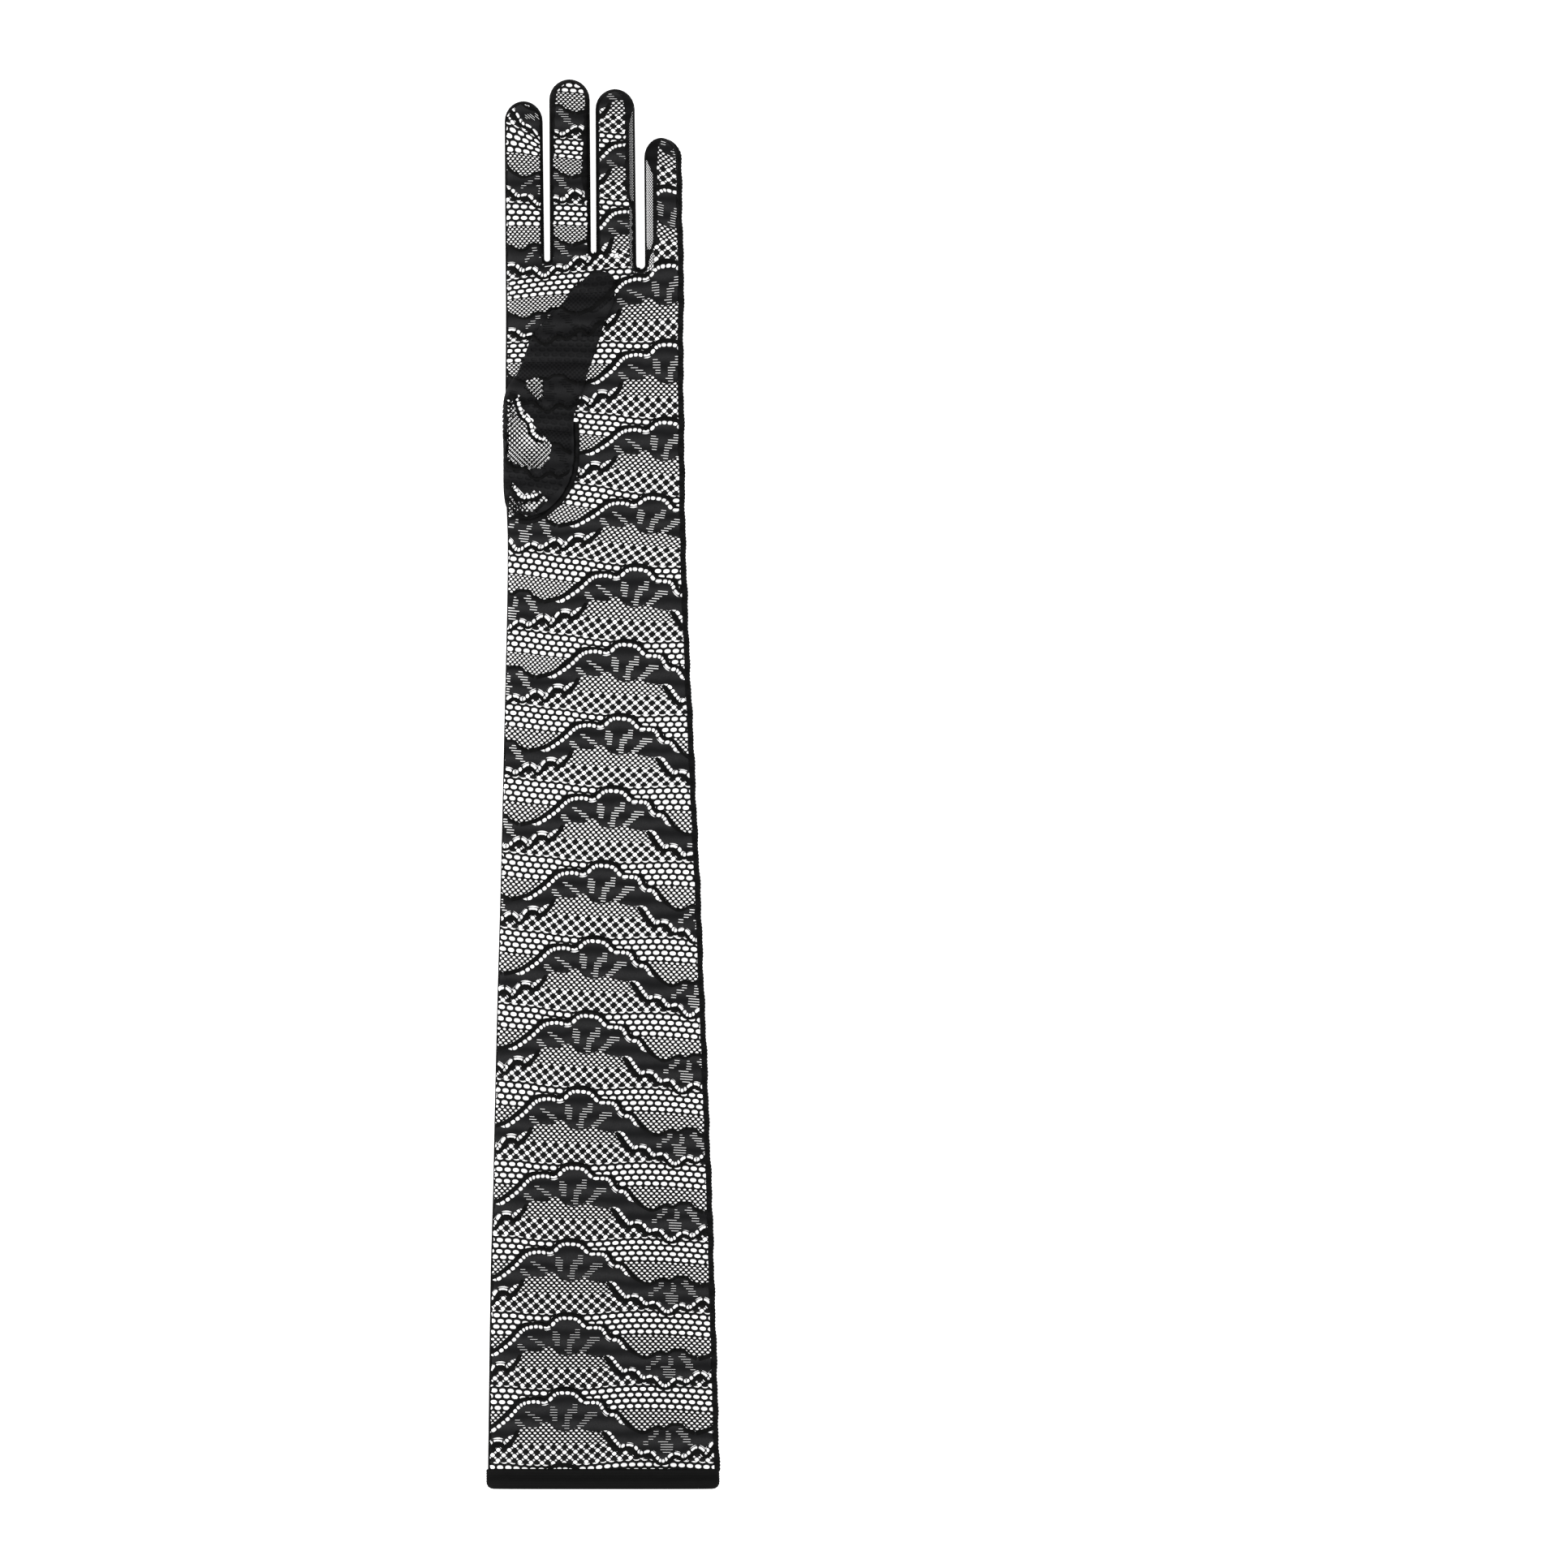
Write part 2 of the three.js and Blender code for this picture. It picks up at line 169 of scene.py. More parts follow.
# %% [markdown]
# From a table to a section
#
# A section is found in two steps: the table's values at y, and then a curve over x. Above its waist the
# curve is an ellipse with fuller shoulders, and below it a flat bottom with rounded corners. Polygons drawn
# by hand could give the same form, but they would have to be drawn again for every change of a size.


# %% Curve of a section
def at(rows, name, y):
    """A column's value at y: a smooth curve through the table's rows."""
    ys, values = rows["y"], rows[name].astype(float)
    i = np.clip(np.searchsorted(ys, y, side="right") - 1, 0, len(ys) - 2)
    before, after = np.maximum(i - 1, 0), np.minimum(i + 2, len(ys) - 1)
    span = ys[i + 1] - ys[i]
    t = np.clip((y - ys[i]) / span, 0, 1)
    m1 = (values[i + 1] - values[before]) / (ys[i + 1] - ys[before]) * span
    m2 = (values[after] - values[i]) / (ys[after] - ys[i]) * span
    step = values[i + 1] - values[i]
    return values[i] + t * (m1 + t * (3 * step - 2 * m1 - m2 + t * (m1 + m2 - 2 * step)))


def crown(x, left, right, base, top):
    """Height of a section's upper half over x."""
    waist = base + (top - base) * WAIST_SHARE
    across = np.clip(np.abs(x - (left + right) / 2) / ((right - left) / 2), 0, 1)
    return waist + (top - waist) * (1 - across**CROWN_POWER) ** (1 / CROWN_POWER)


def underside(x, left, right, base, top):
    """Height of a section's lower half over x: flat, with rounded corners."""
    waist = base + (top - base) * WAIST_SHARE
    half = (right - left) / 2
    corner = np.minimum(waist - base, half * CORNER_SHARE)
    from_edge = np.clip(half - np.abs(x - (left + right) / 2), 0, corner)
    return waist - (waist - base) * np.sqrt(1 - (1 - from_edge / corner) ** 2)


def sleeve_section(y):
    return [at(SLEEVE, name, y) for name in ("left", "right", "base", "top")]


print("left, right, base and top at the wrist in mm:", [round(float(v), 1) for v in sleeve_section(90.0)])

# %% [markdown]
# Heights of the hand and the fingers
#
# A fingertip is rounded seen from above, and it gets thinner too. Over any point, the upper side is the
# highest section that lies there, and the underside is the lowest.


# %% Heights of the hand
def finger_section(n, y):
    """Left, right, base and top of finger n at y, with its elliptic tip."""
    f = {name: column[n] for name, column in FINGERS.items()}
    share = (y - KNUCKLES) / (f["tip"] - KNUCKLES)
    left = f["left"] + (f["left_at_tip"] - f["left"]) * share
    right = f["right"] + (f["right_at_tip"] - f["right"]) * share
    round_off = np.clip((y - (f["tip"] - TIP_LENGTH)) / TIP_LENGTH, 0, 0.9999)
    narrow = np.sqrt(1 - round_off**2)
    middle, half = (left + right) / 2, (right - left) / 2 * narrow
    along = (y - f["root"]) / (f["tip"] - f["root"])
    height = f["top_at_root"] + (f["top_at_tip"] - f["top_at_root"]) * along
    flat = 1 - TIP_THINNING * (1 - narrow)
    base = (1 - flat) * height / 3
    return middle - half, middle + half, base, base + height * flat


def on_finger(n, x, y):
    left, right, _, _ = finger_section(n, y)
    return (y > FINGERS["root"][n]) & (x >= left - 0.01) & (x <= right + 0.01)


def upper_height(x, y):
    """Height of the glove's upper side, its palm, over a point."""
    in_sleeve = y < SLEEVE["y"][-1]
    z = np.where(in_sleeve, crown(x, *sleeve_section(y)), 0.0)
    for n in range(4):
        z = np.where(on_finger(n, x, y), np.maximum(z, crown(x, *finger_section(n, y))), z)
    return z


def lower_height(x, y):
    """Height of the glove's underside, the back of the hand, over a point."""
    in_sleeve = y < SLEEVE["y"][-1]
    z = np.where(in_sleeve, underside(x, *sleeve_section(y)), NO_CLOTH)
    for n in range(4):
        under = underside(x, *finger_section(n, y))
        z = np.where(on_finger(n, x, y), np.minimum(z, under), z)
    return z


print("palm's height in mm:", float(upper_height(np.array([0.0]), np.array([150.0]))[0]))

# %% [markdown]
# Heights of the thumb
#
# Where the thumb lies on the palm it follows the palm's crown, so it sinks beside the middle of the hand.
# Its two sides meet at the tip, and its underside stays clear of the palm's cords.


# %% Heights of the thumb
def thumb_section(y):
    return [at(THUMB, name, y) for name in ("left", "right", "low", "high")]


def thumb_drape(x, y):
    """How far the thumb sinks beside the palm's crown, where it lies on the palm."""
    palm = crown(x, *sleeve_section(y))
    return at(THUMB, "lies", y) * (palm - at(SLEEVE, "top", y))


def closed_at_tip(z, y):
    """Brings the heights of the thumb's upper side and underside together at its tip."""
    _, _, low, high = thumb_section(y)
    waist = low + (high - low) * WAIST_SHARE
    return waist + (z - waist) * np.sqrt(np.clip((THUMB["y"][-1] - y) / THUMB_TIP_ROUNDING, 0, 1))


def thumb_upper(x, y):
    return closed_at_tip(crown(x, *thumb_section(y)), y) + thumb_drape(x, y)


def thumb_lower(x, y):
    under = closed_at_tip(underside(x, *thumb_section(y)), y) + thumb_drape(x, y)
    return np.maximum(under, crown(x, *sleeve_section(y)) + CORDS_BELOW_THUMB)


print("thumb's height in mm:", round(float(thumb_upper(np.array([-16.0]), np.array([198.5]))[0]), 1))

# %% [markdown]
# Small helpers for meshes
#
# Blender takes a mesh as a list of points and a list of faces. Lace has hundreds of thousands of both, so
# the points are worked out as whole arrays. Faces that come out with no area, because an outline cut them
# to nothing, are dropped, and points that meet are joined into one, so that the lace is one fabric. Every
# piece rides on the frame's only body, because a glove has no joint.


# %% Mesh helpers
def joined(points, faces, grain=0.01):
    """Joins points that lie within a grain, in mm."""
    keys = np.round(points / grain).astype(np.int64)
    _, first, where = np.unique(keys, axis=0, return_index=True, return_inverse=True)
    return points[first], where.ravel()[faces]


def with_area(points, faces, least=0.004):
    """Only the faces whose area is over a least value, in square mm."""
    a, b, c, d = (points[faces[:, i]] for i in (0, 1, 2, 3))
    twice = np.linalg.norm(np.cross(c - a, d - b), axis=1)
    return faces[twice > 2 * least]


def mesh_object(name, points, faces, material):
    """A Blender object from points in mm and faces of three or four corners. Faces that the cutting has
    laid on each other are kept once."""
    once = {}
    for face in faces.tolist():
        corners = list(dict.fromkeys(face))
        if len(corners) > 2:
            once[frozenset(corners)] = corners
    mesh = bpy.data.meshes.new(name)
    mesh.from_pydata((points * MM).tolist(), [], list(once.values()))
    mesh.validate()
    mesh.polygons.foreach_set("use_smooth", [True] * len(mesh.polygons))
    mesh.materials.append(material)
    piece = bpy.data.objects.new(name, mesh)
    bpy.context.scene.collection.objects.link(piece)
    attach(piece, "root")
    triangles = sum(len(p.vertices) - 2 for p in mesh.polygons)
    print(f"{name}: {triangles} triangles")
    return piece


def grid_faces(rows, columns, close_columns=False):
    """Faces of a grid of points, row by row; closed columns join the last column to the first."""
    across = columns if close_columns else columns - 1
    j, i = np.meshgrid(np.arange(rows - 1), np.arange(across), indexing="ij")
    here, beside = j * columns + i, j * columns + (i + 1) % columns
    return np.stack([here, beside, beside + columns, here + columns], -1).reshape(-1, 4)


# %% [markdown]
# Colours and threads
#
# The lace, the seams and the hem are black nylon and elastane. Nylon thread is a dark, slightly glossy
# fibre, but a fabric of it scatters light in all directions, so it looks soft and nearly matt. The colours
# are written as sRGB hex values, as a colour picker shows them, and one function turns them to the linear
# values that Blender's shaders want. Knitted courses are too fine to show, but cloth bunches a little from
# course to course, so each fabric has soft bands, drawn 5 to 7 mm apart, broken up by noise as coarse as a
# yarn, 0.6 mm. The two drive both its colour and its relief. A picture of real lace could colour the fabric
# too, but this stays sharp at any distance.


# %% Colour and node helpers
def linear(hex_colour):
    """Linear red, green, blue and alpha of an sRGB hex colour."""
    channels = [int(hex_colour[i : i + 2], 16) / 255 for i in (1, 3, 5)]
    return [c / 12.92 if c <= 0.04045 else ((c + 0.055) / 1.055) ** 2.4 for c in channels] + [1.0]


def add(tree, kind, settings=None, **links):
    """Adds a node to a tree, sets its properties and inputs, and links its inputs to other nodes."""
    node = tree.nodes.new(kind)
    for name, value in (settings or {}).items():
        if name in node.inputs:
            node.inputs[name].default_value = value
        else:
            setattr(node, name, value)
    for name, output in links.items():
        tree.links.new(output, node.inputs[name.replace("_", " ")])
    return node


def new_material(name):
    material = bpy.data.materials.new(name)
    material.use_nodes = True
    material.node_tree.nodes.clear()
    return material, material.node_tree


print("#808080 as a linear value:", round(linear("#808080")[0], 3))

# %% [markdown]
# Black nylon cloth
#
# All the cloth is black nylon, so one function makes its materials: bands along the rows times a noise of
# fibres, mixed between two dark colours, with a little relief. The cloths differ in how far apart the bands
# are, how deep the relief is, how rough the surface is and how dark the colours are.

# %% Black nylon
# Nylon's index of refraction is 1.53. Light is caught between the fibres, so little of the gloss is left.
NYLON_IOR = 1.53
NYLON_SPECULAR = 0.05
# Blender's wave texture turns through 20 radians in a unit at scale 1, so this divides the scale.
WAVE_RADIANS = 20
FIBRES_PER_MM = 1.6


def black_nylon(name, radians_per_mm, relief_mm, roughness, colours):
    """Black nylon fabric: faint bands along its rows, slightly uneven in colour and height."""
    print(f"{name}: bands {2 * math.pi / radians_per_mm:.1f} mm apart")
    material, tree = new_material(name)
    place = add(tree, "ShaderNodeTexCoord")
    per_metre = 1 / MM
    rows = add(
        tree,
        "ShaderNodeTexWave",
        {"wave_type": "BANDS", "bands_direction": "Y", "Scale": radians_per_mm * per_metre / WAVE_RADIANS,
         "Distortion": 1.5, "Detail": 2.0, "Detail Scale": 3.0},
        Vector=place.outputs["Object"],
    )
    fibres = add(
        tree,
        "ShaderNodeTexNoise",
        {"Scale": FIBRES_PER_MM * per_metre, "Detail": 3.0, "Roughness": 0.7},
        Vector=place.outputs["Object"],
    )
    both = add(tree, "ShaderNodeMath", {"operation": "MULTIPLY"})
    tree.links.new(rows.outputs["Fac"], both.inputs[0])
    tree.links.new(fibres.outputs["Fac"], both.inputs[1])
    tone = add(tree, "ShaderNodeMix", {"data_type": "RGBA"})
    tree.links.new(both.outputs[0], tone.inputs[0])
    tone.inputs[6].default_value = linear(colours[0])
    tone.inputs[7].default_value = linear(colours[1])
    bump = add(
        tree, "ShaderNodeBump", {"Strength": 0.6, "Distance": relief_mm * MM}, Height=both.outputs[0]
    )
    surface = add(
        tree,
        "ShaderNodeBsdfPrincipled",
        {"Roughness": roughness, "IOR": NYLON_IOR, "Specular IOR Level": NYLON_SPECULAR},
        Base_Color=tone.outputs[2],
        Normal=bump.outputs["Normal"],
    )
    add(tree, "ShaderNodeOutputMaterial", Surface=surface.outputs["BSDF"])
    return material


print("nylon's index of refraction:", NYLON_IOR)

# %% [markdown]
# The glove's seven cloths and yarns
#
# How dark a black cloth looks depends on how it is made: how tightly it is knitted, how many layers lie on
# each other, and how much light comes through from behind.

# %% Cloths and yarns of the glove
# The net's strands are single soft yarns: an even, matt black line against the light.
net_thread = black_nylon("knitted nylon net", 0.85, 0.05, 0.8, ("#191919", "#232324"))
# Dense knitting lets a little light through between its courses, so it looks charcoal, with faint bands.
dense_lace = black_nylon("densely knitted nylon lace", 0.85, 0.2, 0.75, ("#1b1b1c", "#3a3a3b"))
# In several layers the light between the courses is gone, and the thumb looks darker than the garlands.
layered_lace = black_nylon("nylon lace in several layers", 0.85, 0.15, 0.75, ("#1a1a1b", "#303031"))
# The cord is a thick, tight yarn. It is the blackest thing on the glove, so it draws the pattern's outline.
cord_yarn = black_nylon("matt nylon outline cord", 1.2, 0.1, 0.7, ("#0e0e0e", "#191919"))
# Overlocked thread lies in loops across the edge: nearly as black as the cord, but rougher.
seam_yarn = black_nylon("overlocked nylon seam", 1.0, 0.15, 0.75, ("#111111", "#1f1f20"))
# Rib knit is doubled and thick: a smooth, even black with fine lines round it.
hem_knit = black_nylon("elastic nylon rib knit", 1.0, 0.1, 0.7, ("#0f0f0f", "#191919"))
# Tulle is the thinnest cloth. The light behind it greys its threads, so they are drawn lighter.
tulle_thread = black_nylon("sheer nylon tulle", 1.0, 0.02, 0.8, ("#2c2c2d", "#3c3c3d"))

# %% [markdown]
# Where the lace lies
#
# The lace repeats every 33.2 mm down the glove and every 98 mm across it, but it is cloth: it was
# stretched when it was cut and sewn, so its rows tilt and drift. An array modifier would repeat it evenly,
# so a table gives where the crest of each scallop lies and how far its row tilts. Lace coordinates are s,
# millimetres across from the crest, and v, rows down from the first crest.


# %% Lace rows
PITCH = 33.2
REPEAT = 98.0
ROWS = table(
    ["y", "x", "tilt"],
    [
        (356.8, 27.7, -0.145),
        (326.5, 27.7, -0.145),
        (296.3, 27.7, -0.145),
        (265.0, 27.7, -0.145),
        (232.2, 27.7, -0.145),
        (197.3, 28.1, -0.04),
        (162.7, 28.8, 0.05),
        (128.9, 24.1, 0.125),
        (97.6, 15.8, 0.096),
        (64.1, 10.8, 0.075),
        (31.3, 8.3, 0.07),
        (-0.7, 5.0, 0.06),
        (-33.8, 0.7, 0.065),
        (-67.3, -3.2, 0.07),
        (-100.4, -6.1, 0.075),
        (-133.9, -9.7, 0.07),
        (-167.8, -12.6, 0.037),
        (-201.6, -14.4, 0.035),
        (-234.4, -15.8, 0.015),
        (-267.5, -16.9, 0.01),
        (-301.3, -18.0, 0.0),
        (-334.5, -18.5, 0.0),
    ],
)
LAST_ROW = len(ROWS["y"]) - 3
ROW_NUMBERS = np.arange(len(ROWS["y"])) - 1


def lace_to_glove(s, v):
    """The glove's x and y, in mm, at lace coordinates s and v."""
    x = np.interp(v, ROW_NUMBERS, ROWS["x"]) + s
    y = np.interp(v, ROW_NUMBERS, ROWS["y"]) - np.interp(v, ROW_NUMBERS, ROWS["tilt"]) * s
    return np.stack([x, y], -1)


print("rows of lace from the tips to the hem:", LAST_ROW + 2)

# %% [markdown]
# The panels
#
# The hand and the four fingers are one piece of lace, but each finger has edges of its own. A cell of
# lace belongs to the panel that holds its middle, and all its corners are pulled inside that panel's
# edges. Where a sheer side strip shows on the upper side of a finger, the lace stops short of the edge.
# On the fingers the rows also drift: the table says how far they lie to the right and up, and how much they
# tilt, along each finger from the index to the little one.

# %% Panel edges
HAND = 4
FINGER_DRIFT = [
    {"y": [232, 238, 247, 256, 262, 266, 270, 275, 280, 288, 296],
     "right": [0, -1.5, -2.2, -2.2, -2.0, -1.5, 0.6, 1.2, 0.6, 0, 0],
     "up": [0, 0, 0, 0, 0, 0.1, 0.2, 0.5, 0.8, 0.8, 0.8],
     "tilt": [0, 0.08, 0.16, 0.2, 0.2, 0.15, 0.15, 0.25, 0.36, 0.66, 0.95]},
    {"y": [232, 236, 245, 255, 262, 268, 277, 286, 293, 298],
     "right": [0, -2.0, -2.6, -1.4, -1.4, -2.6, -2.4, -1.4, -1.6, -0.5],
     "up": [0, -0.5, -1.4, -2.7, -2.9, -2.8, -3.3, -4.9, -5.2, -5.2],
     "tilt": [0, 0.1, 0.12, 0.12, 0.12, 0.14, 0.16, 0.16, 0.16, 0.16]},
    {"y": [232, 240, 255, 270, 285, 300], "right": [0, -3.0, -4.4, -4.4, -4.4, -4.4],
     "up": [0, -1.3, -2.3, -3.2, -4.2, -5.0], "tilt": [0, 0.1, 0.15, 0.15, 0.15, 0.15]},
    {"y": [229, 234, 246, 264, 276], "right": [0, 0, 1.5, 3.0, 3.0],
     "up": [0, 1.0, 1.7, 1.8, 1.6], "tilt": [0, 0.2, 0.4, 0.4, 0.4]},
]
PANEL_TRIM = {"left": [0.0, 0.0, 0.0, 3.4, 0.0], "right": [0.0, 0.0, 2.4, 0.0, 0.0]}
HEM_EDGE = -305.6
TIP_CUT = 0.35
BELOW_ALL_TIPS = 999.0
print("the lace ends at y in mm:", HEM_EDGE)

# %% [markdown]
# Cutting the lace to its panels
#
# The nearest crotch tells whether a point lies on the hand or on a finger, and the nearest finger is then
# its panel. Every panel's drift is tried on every cell, and a cell is kept where that brings it onto the
# panel. A boolean cut would split the cells at the edge. Here their corners are pulled inside it instead,
# so they close up along it as stitches do.


# %% Cut the lace to its panels
def panel_of(x, y):
    """Which panel each point lies in: 0 to 3 are fingers and 4 is the hand."""
    nearest_crotch = np.abs(x[:, None] - CROTCHES["x"][None]).argmin(1)
    above = y > CROTCHES["y"][nearest_crotch]
    middles = (FINGERS["left"] + FINGERS["right"]) / 2
    nearest_finger = np.abs(x[:, None] - middles[None]).argmin(1)
    return np.where(above, nearest_finger, HAND)


def panel_edges(panel, y):
    """The left and right edge of each point's panel at y."""
    left, right, _, _ = sleeve_section(y)
    for n in range(4):
        a, b, _, _ = finger_section(n, y)
        left, right = np.where(panel == n, a, left), np.where(panel == n, b, right)
    trim_left, trim_right = (np.array(PANEL_TRIM[side])[panel] for side in ("left", "right"))
    return left + trim_left, right - trim_right


def drifted(points, n):
    """Moves cells as the rows on finger n were shifted, stretched and tilted when its stall was sewn."""
    if n == HAND:
        return points
    drift = FINGER_DRIFT[n]
    x, y = points[..., 0], points[..., 1]
    right, up, tilt = (np.interp(y, drift["y"], drift[name]) for name in ("right", "up", "tilt"))
    middle = (FINGERS["left"][n] + FINGERS["right"][n]) / 2
    return np.stack([x + right, y + up - tilt * (x + right - middle)], -1)


def to_panels(points):
    """Drifts the cells of every panel and returns those that lie on it, with their panels."""
    kept, panels = [], []
    for n in range(HAND + 1):
        moved = drifted(points, n)
        middle = moved.mean(1)
        on_panel = panel_of(middle[:, 0], middle[:, 1]) == n
        kept.append(moved[on_panel])
        panels.append(np.full(on_panel.sum(), n))
    return np.concatenate(kept), np.concatenate(panels)


def cut_to_glove(points, slack=0.9):
    """Keeps the cells that lie on the glove, and pulls their corners inside their panels."""
    points, panel = to_panels(points)
    middle = points.mean(1)
    tips = np.append(FINGERS["tip"], BELOW_ALL_TIPS)[panel]
    left, right = panel_edges(panel, np.minimum(middle[:, 1], tips))
    keep = (middle[:, 0] > left - slack) & (middle[:, 0] < right + slack)
    keep &= (middle[:, 1] < tips) & (middle[:, 1] > HEM_EDGE)
    points, panel, tips = points[keep], panel[keep], tips[keep]
    corners = points.reshape(-1, 2).copy()
    panel, tips = np.repeat(panel, points.shape[1]), np.repeat(tips, points.shape[1])
    corners[:, 1] = np.clip(corners[:, 1], HEM_EDGE, tips - TIP_CUT)
    left, right = panel_edges(panel, corners[:, 1])
    corners[:, 0] = np.clip(corners[:, 0], left, np.maximum(right, left))
    return corners.reshape(points.shape)


print("width of each finger in mm:", (FINGERS["right"] - FINGERS["left"]).round(1))

# %% [markdown]
# The chart of one repeat
#
# Each row of the lace is a garland of dense knitting with a scalloped outline. A raised cord follows its
# upper edge, and the lower edge of its hanging part, with a row of small eyelets inside the cord. The
# points give both edges in millimetres from the crest: s to the right and t down, towards the hem. The
# third number is the width of the cord, which is how far inside the edge the eyelets begin. Few points and
# a smooth curve through them make a line as fluent as the yarn.

# %% Chart of the garland
UPPER_EDGE = [
    (-39.2, 19.3, 1.9), (-35.5, 18.1, 1.9), (-33.0, 17.2, 1.9), (-31.0, 15.9, 1.9), (-28.9, 14.1, 2.0),
    (-27.0, 12.4, 2.1), (-25.2, 10.6, 2.1), (-23.6, 8.8, 2.0), (-22.3, 7.3, 2.0), (-20.7, 6.0, 2.0),
    (-18.7, 5.1, 1.8), (-15.2, 4.8, 1.3), (-12.0, 4.7, 1.25), (-10.2, 5.0, 1.4), (-8.9, 5.3, 1.5),
    (-7.9, 4.2, 1.4), (-6.8, 2.9, 1.4), (-5.2, 1.3, 1.6), (-2.9, 0.3, 1.8), (0.0, 0.0, 2.0), (3.0, 0.3, 1.8),
    (5.4, 1.1, 1.6), (7.0, 2.4, 1.6), (8.4, 3.8, 1.6), (9.6, 4.9, 1.5), (11.0, 5.2, 1.0), (14.5, 5.1, 0.95),
    (16.7, 5.6, 1.3), (18.0, 6.5, 1.6), (19.0, 8.0, 1.6), (19.5, 9.3, 1.6), (20.3, 10.0, 1.6),
    (21.9, 10.1, 1.0), (23.6, 10.3, 1.4), (25.0, 11.0, 1.7), (26.4, 12.4, 1.7), (27.4, 14.2, 1.7),
    (28.9, 15.9, 1.5), (30.6, 17.3, 1.3), (33.0, 18.5, 1.3), (34.8, 19.3, 1.3), (36.3, 19.1, 1.3),
    (38.0, 18.4, 1.3), (39.6, 17.3, 1.3), (41.2, 16.8, 1.3), (43.0, 17.2, 1.3), (44.6, 17.5, 1.3),
    (45.8, 16.7, 1.3), (47.2, 15.8, 1.3), (50.0, 15.6, 1.3), (52.3, 15.7, 1.3), (53.3, 16.6, 1.3),
    (54.3, 17.8, 1.3), (56.0, 18.4, 1.5), (58.8, 19.3, 1.9),
]
LOWER_EDGE = [
    (-19.6, 19.6, 1.3), (-18.6, 18.3, 1.3), (-16.2, 17.9, 1.3), (-12.5, 18.1, 1.3), (-9.6, 16.6, 1.3),
    (-8.3, 15.9, 1.3), (-6.8, 15.9, 1.3), (-4.6, 17.4, 1.3), (-2.5, 18.9, 1.3), (0.0, 19.6, 1.3),
    (3.2, 19.2, 1.3), (5.0, 18.4, 1.3), (6.8, 17.8, 1.3), (9.7, 19.1, 1.3), (13.3, 19.6, 1.3),
    (16.1, 19.8, 1.3), (17.1, 20.8, 1.8), (18.0, 21.9, 2.2), (19.0, 23.3, 2.3), (19.8, 24.6, 2.4),
    (20.9, 25.7, 2.3), (22.0, 26.7, 2.2), (23.2, 27.7, 2.1), (24.8, 28.5, 1.7), (26.5, 28.4, 1.5),
    (28.3, 27.8, 1.9), (29.6, 28.3, 2.4), (30.5, 29.1, 2.3), (31.7, 30.1, 2.1), (33.1, 30.9, 1.5),
    (35.0, 31.1, 1.3), (37.0, 30.7, 1.6), (38.6, 30.7, 1.8), (39.8, 31.8, 1.4), (41.0, 33.1, 1.5),
    (42.4, 34.1, 1.2), (44.6, 34.3, 1.0), (46.8, 33.9, 1.3), (48.1, 32.8, 1.6), (49.3, 31.8, 1.8),
    (50.4, 31.4, 1.8), (52.0, 32.0, 1.4), (53.8, 32.4, 0.9), (55.4, 31.7, 1.2), (57.0, 30.8, 1.3),
    (58.4, 29.7, 1.7), (59.6, 28.7, 1.9), (60.8, 29.0, 1.6), (61.8, 30.0, 1.4), (62.8, 31.1, 1.4),
    (64.0, 31.3, 1.5), (65.3, 30.4, 1.6), (66.3, 29.3, 1.8), (67.3, 28.0, 2.2), (68.3, 26.8, 2.5),
    (69.4, 26.3, 2.4), (70.6, 26.6, 2.0), (71.5, 27.5, 1.8), (72.5, 27.7, 1.8), (73.8, 26.9, 2.1),
    (75.0, 25.8, 2.1), (76.2, 24.5, 2.0), (77.3, 22.9, 2.0), (78.0, 21.3, 1.9), (78.4, 19.6, 1.5),
]
UPPER_EYELETS = (-33.6, 28.6)
LOWER_EYELETS = (17.2, 77.6)
CREST_BARS = (-4.4, 4.7)
CORD_WIDTH = 1.35
BELT_WIDTH = 2.1
EYELET_PITCH = 2.3
BAR_PITCH = 3.2
print("charted points:", len(UPPER_EDGE), "above and", len(LOWER_EDGE), "below")

# %% [markdown]
# The open stitches
#
# The dense knitting has light slashes, like the veins of a leaf. Each is a run of short open stitches from
# one point to another, so the table gives both points, from s0 and t0 to s1 and t1, and the run's width.

# %% Chart of the open stitches
SLASHES = table(
    ["s0", "t0", "s1", "t1", "width"],
    [
        (-16.9, 10.3, -9.0, 15.9, 3.2),
        (-20.9, 14.0, -19.2, 17.1, 2.4),
        (-17.9, 15.8, -16.8, 17.1, 1.8),
        (-5.0, 7.5, -4.0, 14.8, 2.9),
        (2.9, 8.8, 0.8, 18.6, 3.1),
        (5.0, 7.2, 4.3, 11.6, 2.3),
        (12.6, 10.0, 12.4, 12.8, 4.9),
        (11.6, 12.0, 7.2, 17.4, 3.3),
        (35.0, 25.6, 42.6, 18.2, 2.6),
        (46.7, 18.4, 46.5, 24.0, 2.2),
        (45.2, 22.6, 46.2, 28.8, 5.2),
        (51.3, 17.6, 56.2, 25.0, 3.8),
    ],
)
print("runs of open stitches in one repeat:", len(SLASHES["s0"]))

# %% [markdown]
# From points to curves
#
# A smooth curve is laid through the charted points and then divided evenly, so that eyelets and stitches
# can be set along it by their pitch. An edge goes on into the next repeat, so it is also unrolled over
# three repeats.

# %% Curves through the chart
CURVE_STEP = 0.45


